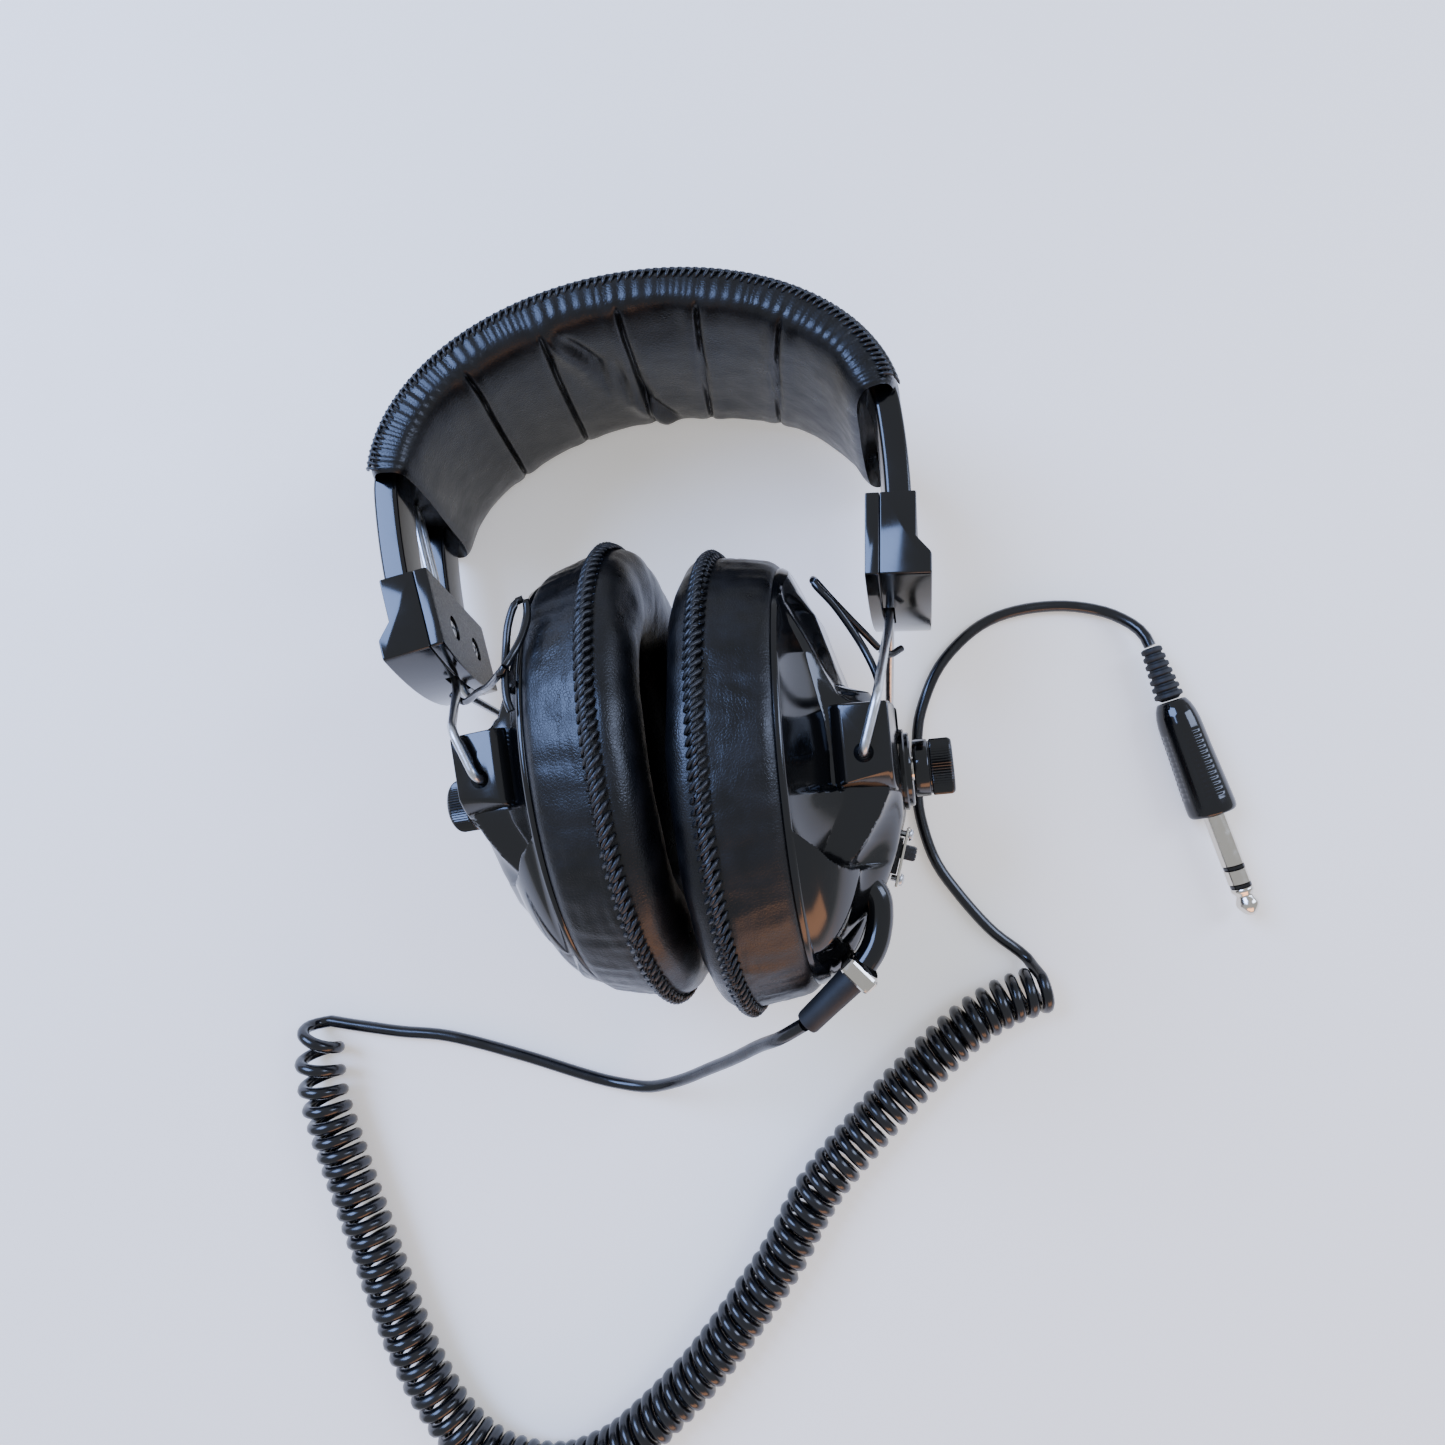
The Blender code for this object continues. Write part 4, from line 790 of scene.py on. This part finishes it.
# takes the cutter's shape out of obj and leaves a plain mesh
def cutAway(obj, cutter):
    boolean = obj.modifiers.new("cut", "BOOLEAN")
    boolean.operation = "DIFFERENCE"
    boolean.solver = "EXACT"
    boolean.object = cutter
    graph = bpy.context.evaluated_depsgraph_get()
    made = bpy.data.meshes.new_from_object(obj.evaluated_get(graph))
    obj.modifiers.clear()
    obj.data = made
    made.shade_smooth()
    made.set_sharp_from_angle(angle=radians(35))
    bpy.data.objects.remove(cutter)


def boxCutter(place, size):
    bm = bmesh.new()
    bmesh.ops.create_cube(bm, size=1.0)
    scale = Matrix.Diagonal((*[s * mm for s in size], 1))
    bmesh.ops.transform(bm, matrix=place @ scale, verts=bm.verts)
    return newObject("cutter", meshFrom(bm, "cutter"))


def rodCutter(place, radius, depth):
    rows = turnedRows(inMm([(radius, 0), (radius, depth)]), place, 40)
    return gridObject("cutter", rows, caps=True)


def makeBlocks(side):
    place = blockPlace(side)
    inner = gridObject("block_head_half_" + side, blockRows("inner", place), caps=True)
    outer = gridObject("block_outer_half_" + side, blockRows("outer", place), caps=True)
    slot = boxCutter(place @ move(-2.6, -22, 0), (3.2, 12, 15))
    cutAway(outer, slot)
    face = -block["seam"] - block["inner"]
    radius = block["screwRadius"]
    for number, sign in ((1, 1), (2, -1)):
        axis = place @ move(face, -block["screwBelow"], sign * block["screwApart"] / 2)
        axis = axis @ turnAbout(180, "Y")
        cutAway(inner, rodCutter(axis @ move(-1.9, 0, 0), radius + 0.9, 4))
        name, node = f"screw_cross_{side}_{number}", f"block_screw_{side}_{number}"
        makeCrossScrew(name, axis @ move(-0.3, 0, 0), radius + 0.35, "headband", node, 20 + 37 * number)
    finishPiece(inner, "headband", "texture_abs", replaces=("block_inner_" + side,))
    finishPiece(outer, "headband", "texture_abs", replaces=("block_outer_" + side,))
    # the mould is textured on the two broad faces only, the edges are polished
    outward = place.to_3x3() @ Vector((1, 0, 0))
    for half in (inner, outer):
        half.data.materials.append(materials["gloss_abs"])
        for face in half.data.polygons:
            face.material_index = 0 if abs(face.normal.dot(outward)) > 0.9 else 1


# a pan head with a cross recess, standing on its short shank
def makeCrossScrew(name, place, radius, body, node, turn):
    outline = (
        (0.42, -3.4), (0.42, -1.45), (1, -1.4), (1, -0.9), (0.97, -0.62), (0.86, -0.3), (0.66, -0.1),
        (0.4, 0), (0.1, 0.02),
    )
    made = turnedObject(name, inMm((radius * r, x) for r, x in outline), place, 40, sharp=50)
    for k in (0, 90):
        cutAway(made, boxCutter(place @ turnAbout(turn + k, "X"), (1.3, radius * 1.15, 0.42 * radius / 1.6)))
    finishPiece(made, body, "steel", replaces=(node,))


yoke = {"wire": 2.3, "spacing": 6.4, "above": 30.0, "standOff": 2.2, "bend": 3.4}
boss = {"top": 11.55, "face": 27.0}


def makeYoke(side):
    toCup = cups[side].inverted() @ blockPlace(side)
    x = -block["seam"] + 0.3 + yoke["wire"] / 2
    half = yoke["spacing"] / 2
    top = yoke["above"] - half
    low = -block["height"] - block["bow"] - 2.0
    turns = [pi * i / 16 for i in range(17)]
    hairpin = [toCup @ (Vector((x, top + half * sin(t), half * cos(t))) * mm) for t in turns]
    legs = []
    for sign in (1, -1):
        out = boss["face"] + yoke["standOff"]
        leave = toCup @ (Vector((x, low, sign * half)) * mm)
        over = Vector((4.6, boss["top"] + 1.5, sign * out)) * mm
        turned = Vector((0, 0, sign * out)) * mm
        legs.append([leave, over, turned, Vector((0, 0, sign * (boss["face"] - 4))) * mm])
    line = [*reversed(legs[0]), *hairpin, *legs[1]]
    bent = [line[0]]
    for before, corner, after in zip(line, line[1:], line[2:]):
        reach = min(yoke["bend"] * mm, 0.45 * (before - corner).length, 0.45 * (after - corner).length)
        a = corner + (before - corner).normalized() * reach
        b = corner + (after - corner).normalized() * reach
        steps = 8 if reach > 1.5 * mm else 1
        bent += [cornerBend(a, corner, b, k / steps) for k in range(steps + 1)]
    bent.append(line[-1])
    placed = [cups[side] @ p for p in bent]
    made = cordCurve("yoke_spring_wire_" + side, placed, yoke["wire"] * mm, 5)
    finishPiece(made, "yoke_" + side, "steel", replaces=("yoke_wire_" + side,))


for cupSide in sides:
    makeBlocks(cupSide)
    makeYoke(cupSide)
print("blocks and yokes made")


# the cups, in millimetres from their pivots
cup = {
    "below": 3.0,  # the cup's middle under its pivot, mm
    "rim": (53.6, 40.6), "dome": (52.6, 39.9), "domeFoot": -16.4, "domeRise": 17.5, "seam": -35.3,
    "cushion": (59.0, 44.8), "opening": (31.0, 20.0), "shoulder": 23.2, "scoop": 24.6,
    "stitchStep": 2.55,
}
# how far the raised middle band stands out, from the lower rim to the headband side
ridgeLine = (
    (-58, -17), (-51, -13), (-45, -9), (-39, -4.2), (-32, 1.2), (-24, 4.6), (-16, 6.9), (-8, 7.6), (2, 7),
    (9, 5), (13.5, 2.6), (15.2, 1.6), (17.2, -4.2), (20, -5), (28, -7.4), (36, -9.6), (42, -13), (52, -17),
)
# the shoulder on each side of that band, and the scoop's edge under the shoulder
shoulderLine = (
    (-26, -6.5), (-24.5, -5.3), (-20.3, -1.7), (-14.7, 2.1), (-9.9, 4.6), (-5, 5.6), (9, 5.4), (12.5, -2.8),
    (14.4, -5), (20, -7.6), (27.3, -10.6), (38, -15.6), (44, -16.6),
)
scoopLine = (
    (-26.6, -14.4), (-25.2, -13.9), (-23.3, -12.4), (-17.1, -8.9), (-11.5, -6), (-8.3, -5.2), (-6.8, -8.3),
    (1, -8), (9, -8.4), (18, -10.1), (25, -11.4), (32, -14.4), (38, -16.2), (44, -16.6),
)
# the smile-shaped lower end of the scoop, as (distance from the middle plane, y)
smileLine = ((23.0, -26.6), (26, -26.4), (30, -25.3), (33, -23.5), (37.0, -19), (39.5, -15.5))


def straightRead(points, x):
    for (x0, v0), (x1, v1) in zip(points, points[1:]):
        if x <= x1:
            return v0 + (v1 - v0) * max(0.0, (x - x0) / (x1 - x0))
    return points[-1][1]


# a place on an oval about the cup's middle
def oval(high, wide, turn):
    return -cup["below"] + high * cos(turn), wide * sin(turn)


# how far the shell stands out over a place of the cup's oval
def domeHeight(y, z):
    side, atShoulder = abs(z), cup["shoulder"]
    high, wide = cup["dome"]

    def dome(across):
        q = sqrt(((y + cup["below"]) / high) ** 2 + (across / wide) ** 2)
        return cup["domeFoot"] + cup["domeRise"] * max(0.0, 1 - q**2.9) ** 0.62

    ridge = max(straightRead(ridgeLine, y), dome(side) if y < 0 else cup["domeFoot"])
    carved = easeBetween(-27.3, -26.2, y)
    shoulder = dome(atShoulder) + (straightRead(shoulderLine, y) - dome(atShoulder)) * carved
    if side <= atShoulder:
        return ridge + (min(shoulder, ridge) - ridge) * easeBetween(10.2, atShoulder, side)
    body = dome(side) if carved < 1 else min(dome(side), shoulder)
    edge = wide * sqrt(max(0.0, 1 - ((y + cup["below"]) / high) ** 2))
    foot = straightRead(scoopLine, y)
    if side < cup["scoop"]:
        face = shoulder + (foot - shoulder) * (side - atShoulder) / 1.4
    else:
        share = min(1.0, max(0.0, (edge - side) / max(1.0, edge - cup["scoop"])))
        face = -16.5 + (foot + 16.5) * (0.55 * share + 0.45 * share**2)
    within = easeBetween(0.0, 0.9, y - straightRead(smileLine, side))
    return body + (min(face, max(body, shoulder)) - body) * within


switchPlace = cups["right"] @ move(4.9, -26.3, 0) @ turnAbout(-18, "Z")


def makeShell(side):
    place = cups[side]
    around, rings = 420, 150
    turns = [2 * pi * i / around for i in range(around)]
    (rimHigh, rimWide), (high, wide) = cup["rim"], cup["dome"]
    rows = []
    # inside lip, edge and the short wall of the rim, then the dome
    for half, x in ((-2.2, -18.0), (-1.4, -18.3), (-0.35, -18.3), (0.0, -18.0), (0.0, -17.2), (-0.25, -16.75)):
        rows.append([place @ (Vector((x, *oval(rimHigh + half, rimWide + half, t))) * mm) for t in turns])
    shares = [1 - k / rings for k in range(rings)]
    for h, w in [(high * share, wide * share) for share in shares] + [(0.2, 0.2)]:
        points = [oval(h, w, t) for t in turns]
        rows.append([place @ (Vector((domeHeight(y, z), y, z)) * mm) for y, z in points])
    shell = gridObject("cup_shell_" + side, rows, caps=True, sharp=60)
    if side == "right":
        cutAway(shell, boxCutter(switchPlace @ move(5.7, 0, 0), (12, 15.6, 8.6)))
    finishPiece(shell, "cup_" + side, "gloss_abs", replaces=("shell_" + side,))
    for end, sign in (("near", 1), ("far", -1)):
        makeBoss(side, end, sign)


# the block that a leg of the yoke turns into, with a chamfered hole
def makeBoss(side, end, sign):
    place = cups[side]
    rows = []
    # each level's left edge, and how far its foot drops below the face
    for z, left, drop, inset in (
        (8, -8.2, 5, -0.6), (22, -8.2, 4.6, -0.2), (24, -7.7, 3.4, 0), (25.4, -6.9, 1.9, 0),
        (26.3, -5.9, 0.8, 0.05), (26.8, -4.9, 0.15, 0.2), (27, -4.3, 0, 0.5),
    ):
        corners = [(6.4 - inset, -4.5 - drop + inset), (6.7 - inset, 11.6 - inset)]
        corners += [(left, 11.9 - inset), (left, -6.9 - 0.35 * drop + inset)]
        outline = roundedOutline(corners, 1.1, 6)
        rows.append([place @ (Vector((p.x, p.y, sign * z)) * mm) for p in outline])
    made = gridObject(f"boss_{end}_{side}", rows, caps=True)
    axis = place @ move(0, 0, sign * 28) @ turnAbout(sign * 90, "Y")
    cutAway(made, rodCutter(axis, 1.45, 8))
    chamfer = turnedRows(inMm([(2.6, 0.4), (2.3, 1.05), (1.4, 1.7)]), axis, 40)
    cutAway(made, gridObject("cutter", chamfer, caps=True))
    finishPiece(made, "cup_" + side, "gloss_abs")


# inset is a share of the way from the outer edge to the opening
def cushionPoint(x, inset, turn):
    h, w = [outer + (hole - outer) * inset for outer, hole in zip(cup["cushion"], cup["opening"])]
    return Vector((x, *oval(h, w, turn)))


def cushionNormal(turn):
    high, wide = cup["cushion"]
    return Vector((0, cos(turn) / high, sin(turn) / wide)).normalized()


cushionOutline = (
    (-17.9, 0.215), (-18.6, 0.17), (-20.5, 0.135), (-24, 0.10), (-28, 0.07), (-31.5, 0.045), (-34, 0.022),
    (-35.3, 0), (-36.6, 0.018), (-38.6, 0.03), (-40.8, 0.075), (-42.6, 0.16), (-43.8, 0.28), (-44.3, 0.42),
    (-44, 0.57), (-42.9, 0.72), (-40.8, 0.85), (-37.5, 0.94), (-33, 0.985), (-26, 1), (-18.7, 1),
)


def makeCushion(side):
    place, seed = cups[side], {"right": 3.0, "left": 11.0}[side]
    outline = [Vector((x, f, 0)) for x, f in cushionOutline]
    fine = []
    for i in range(len(outline) - 1):
        a, d = outline[max(i - 1, 0)], outline[min(i + 2, len(outline) - 1)]
        fine += [throughPoints(a, outline[i], outline[i + 1], d, k / 4) for k in range(4)]
    fine.append(outline[-1])
    around = 320
    rows = []
    for n, p in enumerate(fine):
        x, inset = p.x, max(0.0, p.y)
        row = []
        skirt = easeBetween(-18.0, -21.0, x) * (1 - easeBetween(-31.5, -34.6, x)) if n < 30 else 0.0
        onSeam = bell(x - cup["seam"], 2.6) * (1 if inset < 0.3 else 0)
        roll = easeBetween(-36.0, -39.0, x) if inset < 0.9 else 0.0
        for i in range(around):
            t = 2 * pi * i / around
            here, radial = cushionPoint(x, inset, t), cushionNormal(t)
            gone = t * 51  # mm round the seam
            # gathers that run from the stitching to the shell
            gather = 0.45 * abs(wavy((gone, x * 0.25, seed), 4.2, 1))
            gather += 0.5 * wavy((gone, x * 0.5, seed), 11.0, 5)
            gather += 0.3 * abs(wavy((gone * 0.3, x * 1.7, seed), 2.4, 3)) * easeBetween(-20, -23, x)
            here += radial * skirt * (0.55 - gather)
            dent = 0.8 * wavy((gone, x, inset * 20 + seed), 15, 2)
            dent += 0.16 * wavy((gone, x, inset * 22 + seed), 6, 8)
            here += Vector((-1, 0, 0)) * roll * dent * 0.9 + radial * roll * dent * 0.5
            # small pulls where each stitch holds
            hold = cos(2 * pi * t * 51.9 / cup["stitchStep"]) * onSeam
            here += radial * 0.16 * hold
            row.append(place @ (here * mm))
        rows.append(row)
    made = gridObject("ear_cushion_" + side, rows, along=True, sharp=75)
    finishPiece(made, "cup_" + side, "leatherette", replaces=("cushion_" + side,))
    makeWhipStitch(side)


# a heavy thread over the seam, each pair of stitches crossing into a braid
def makeWhipStitch(side):
    place = cups[side]
    line = evenly([cushionPoint(cup["seam"], -0.02, 2 * pi * i / 400) for i in range(401)], 128)
    bm = bmesh.new()
    count = len(line) - 1
    for i in range(count):
        a, b, c = line[i], line[(i + 1) % count], line[(i + 2) % count]
        radial = cushionNormal(atan2(b.z / cup["cushion"][1], (b.y + cup["below"]) / cup["cushion"][0]))
        start = a + Vector((2.35, 0, 0)) - radial * 1.1
        end = c + Vector((-2.35, 0, 0)) - radial * 0.6
        stitch = []
        for k in range(7):
            t = k / 6
            p = start.lerp(end, t) + radial * (2.1 * sin(pi * t)) * 0.8
            p += Vector((0, 0.1 * wavy((i, k, 0), 1.3, 5), 0))
            stitch.append(place @ (p * mm))
        tubeInto(bm, stitch, 0.62 * mm, 6)
        back = []
        for t in (0, 0.33, 0.66, 1):
            p = b.lerp(c, t) + radial * (0.75 + 0.3 * sin(pi * t)) + Vector((0.9 - 1.8 * t, 0, 0))
            back.append(place @ (p * mm))
        tubeInto(bm, back, 0.45 * mm, 6)
    made = newObject("cushion_whip_stitch_" + side, meshFrom(bm, "whip", 80))
    finishPiece(made, "cup_" + side, "thread")


def knobPlace(side):
    return cups[side] @ move(0, -(cup["below"] + 1.5), 0)


def makeKnob(side):
    place = knobPlace(side)
    start, length, radius = 10.4, 9.8, 7.25  # mm
    end, teeth = start + length, 60
    outline = [
        (3.3, start), (radius - 0.5, start), (radius - 0.1, start + 0.15), (radius, start + 0.5),
        (radius, start + 3.4), (radius - 0.12, start + 3.7), (radius - 0.55, start + 3.85),
        (radius - 0.6, start + 4.1), (radius - 0.15, start + 4.3),
    ]
    outline += [(radius - 0.1, start + 4.3 + 0.3 * k) for k in range(1, 16)]
    outline += [
        (radius - 0.3, end - 0.5), (radius - 0.75, end - 0.1), (radius - 1.1, end), (5.95, end),
        (5.9, end - 0.75), (0.6, end - 0.8),
    ]

    def knurl(x, turn, r):
        inside = start + 4.25 < x / mm < end - 0.4 and r > 6.5 * mm
        return (-0.32 * mm * (0.5 - 0.5 * cos(turn * teeth))) if inside else 0.0

    rows = turnedRows(inMm(outline), place, teeth * 6, knurl)
    made = gridObject("volume_knob_knurled_" + side, rows, caps=True, sharp=50)
    finishPiece(made, "knob_" + side, "gloss_abs", replaces=("volume_knob_" + side,))
    cap = [(0.1, 20.16), (4.6, 20.12), (5.35, 20.02), (5.7, 19.8), (5.75, 19.5), (5.0, 19.45)]
    turnedPiece("knob_end_cap_" + side, cap, place, 72, "knob_" + side, "grey_cap", "knob_cap_" + side)
    dial = [
        (3.3, 7.3), (10, 7.3), (10.35, 7.45), (10.4, 8.3), (10.2, 8.5), (9.55, 8.5), (9.4, 8.65), (9.4, 9.5),
        (9.1, 9.85), (8.6, 9.9), (8.3, 9.7), (3.3, 9.7),
    ]
    node = "dial_plate_" + side
    turnedPiece("dial_plate_stepped_" + side, dial, place, 72, "cup_" + side, "gloss_abs", node)


# a bright plate let into the right cup, two screws and a ribbed slider
def makeSwitch():
    place = switchPlace
    plate = boxCutter(place @ move(0.35, 0, 0), (0.7, 15, 8))
    cutAway(plate, boxCutter(place, (4, 6.8, 5.0)))
    plate.name = "switch_plate_bright"
    rounded(plate, 0.18 * mm, 2)
    finishPiece(plate, "cup_right", "nickel", replaces=("switch_plate",))
    for number, sign in ((1, 1), (2, -1)):
        at = place @ move(0, sign * 5.8, 0)
        makeDomeScrew(f"switch_screw_dome_{number}", at, f"switch_screw_{number}")
    rows = []
    for x, inset in ((-1.5, 0.0), (2.9, 0.0), (3.35, 0.15), (3.6, 0.5)):
        y, z = 1.8 - inset, 2.2 - inset
        outline = roundedOutline([(y, z), (-y, z), (-y, -z), (y, -z)], 0.4, 3)
        rows.append([place @ (Vector((x, 1.3 + p.x, p.y)) * mm) for p in outline])
    slider = gridObject("switch_slider_ribbed", rows, caps=True)
    for k in (-1, 0, 1):
        cutAway(slider, boxCutter(place @ move(3.7, 1.3 + 1.05 * k, 0), (0.7, 0.4, 6)))
    finishPiece(slider, "slider_right", "texture_abs", replaces=("switch_slider",))


def makeDomeScrew(name, place, node):
    outline = ((0.8, -1.4), (0.85, 0.9), (1.6, 0.95), (1.58, 1.2), (1.3, 1.6), (0.8, 1.82), (0.1, 1.9))
    made = turnedObject(name, inMm(outline), place, 36, sharp=50)
    cutAway(made, boxCutter(place @ turnAbout(25, "X") @ move(1.9, 0, 0), (0.9, 4, 0.45)))
    finishPiece(made, "cup_right", "steel", replaces=(node,))


# the cord's entry and the link leads
glandRoute = (
    (34, -62, 63), (39.4, -65.2, 65.2), (42.4, -69, 66), (42.4, -73.8, 66), (41, -78.8, 66.2),
    (39.2, -82.1, 66.5), (37.1, -84.6, 66.4),
)
rubberEnds = (Vector((36.5, -85.7, 66.5)) * mm, Vector((21.1, -97.9, 62.5)) * mm)


def makeCordEntry():
    line = smoothLine(scaled(glandRoute), 1.0 * mm)
    gland = cordCurve("cord_gland_loop", line, 6.4 * mm, 6)
    finishPiece(gland, "cup_right", "gloss_abs", replaces=("cord_gland",))
    start, end = rubberEnds
    length = (end - start).length / mm
    outline = [
        (2.6, 0.0), (3.5, 0.1), (3.7, 0.5), (3.68, 2.0), (3.5, 7.0), (3.3, 12.0), (3.12, length - 0.9),
        (2.9, length - 0.25), (2.2, length), (1.76, length - 0.4),
    ]
    place = facing(start, end)
    turnedPiece("rubber_strain_sleeve", outline, place, 48, "cup_right", "rubber", "rubber_sleeve")
    made = frame["nodes"]["clamp_band"]
    made.data.materials.clear()
    made.data.materials.append(materials["nickel"])


linkRoutes = {
    "right": (
        (60.6, -7.6, 43), (56, -9, 46.5), (50.4, -3.6, 52), (43, 4.6, 59), (38.6, 9.6, 64), (38.6, 7.6, 67),
        (42.6, 1.8, 66.6), (47.2, -7.4, 66), (49.6, -15, 67.4), (50.2, -19.6, 67.4),
    ),
    "left": (
        (-61.8, -2.9, 44), (-58, -5.6, 45.6), (-51.1, -5, 56), (-44.4, -6, 70), (-37.9, -5.4, 83.4),
        (-35.7, -3.1, 83.4), (-33.9, -0.4, 82.6), (-32.3, 3.2, 80.6), (-31.1, 7.8, 78.4), (-31.4, 12.3, 77),
        (-33.8, 11.5, 77.6), (-35.8, 6.5, 78.6), (-36.8, 0.4, 79.6), (-37.1, -7.1, 82.6),
        (-36.8, -12, 84.2), (-36.1, -14.7, 84.4),
    ),
}


def makeLinkLeads():
    for side, route in linkRoutes.items():
        points = smoothLine(scaled(route), 1.2 * mm)
        cut = len(points) // 2
        halves = []
        for name, part in (("upper", points[:cut + 1]), ("lower", points[cut:])):
            bm = bmesh.new()
            tubeInto(bm, part, 0.95 * mm, 12, taper=False)
            piece = newObject(f"link_lead_{name}_{side}", meshFrom(bm, name, 80))
            piece.data.materials.append(materials["cord"])
            halves.append(piece)
        upper, lower = halves
        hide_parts("link_lead_" + side)
        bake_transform(upper)
        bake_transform(lower)


for cupSide in sides:
    makeShell(cupSide)
    makeCushion(cupSide)
    makeKnob(cupSide)
makeSwitch()
makeCordEntry()
makeLinkLeads()
print("cups made")

# the frame's own pieces that still show, such as the baffles behind the foam
slots = {entry["node"]: entry["material_slot"] for entry in frame["record"]["subparts"]}
for name, node in frame["nodes"].items():
    if not node.hide_render:
        node.data.materials.clear()
        node.data.materials.append(materials[slots[name]])


# floor and light
def makeFloor():
    bm = bmesh.new()
    bmesh.ops.create_grid(bm, x_segments=1, y_segments=1, size=2.5)
    floor = newObject("pale_table", meshFrom(bm, "pale_table"))
    it = Surface("table", "white laminate, glowing", "f7f4f0", 0.6)
    it.rough(it.grain(30, 3), 0.5, 0.6)
    # painted light: the table glows though it is no lamp, brightening the floor and lighting the headphones
    # from below
    it.shader["Emission Color"].default_value = linear("fffaf4")
    it.shader["Emission Strength"].default_value = 0.42
    floor.data.materials.append(materials["table"])


def addLight(name, place, target, size, power, colour):
    data = bpy.data.lights.new(name, "AREA")
    data.shape = "RECTANGLE"
    data.size, data.size_y = size
    data.energy = power
    data.color = linear(colour)[:3]
    made = newObject(name, data)
    made.location = place
    made.rotation_euler = (Vector(target) - Vector(place)).to_track_quat("-Z", "Y").to_euler()
    return made


def makeLight():
    world = bpy.data.worlds.new("studio")
    world.use_nodes = True
    world.node_tree.nodes["Background"].inputs["Color"].default_value = linear("e6ebf4")
    world.node_tree.nodes["Background"].inputs["Strength"].default_value = 0.72
    bpy.context.scene.world = world
    addLight("window", (-0.75, 0.55, 0.95), (0, 0, 0.03), (0.7, 0.9), 30, "9dbcff")
    addLight("right fill", (0.9, 0.25, 0.7), (0, 0, 0.03), (0.35, 0.8), 8, "c4d6ff")
    addLight("warm card", (0.25, -0.95, 0.3), (0, -0.02, 0.03), (0.8, 0.3), 3.0, "ffb27a")


makeFloor()
makeLight()
print("scene done")
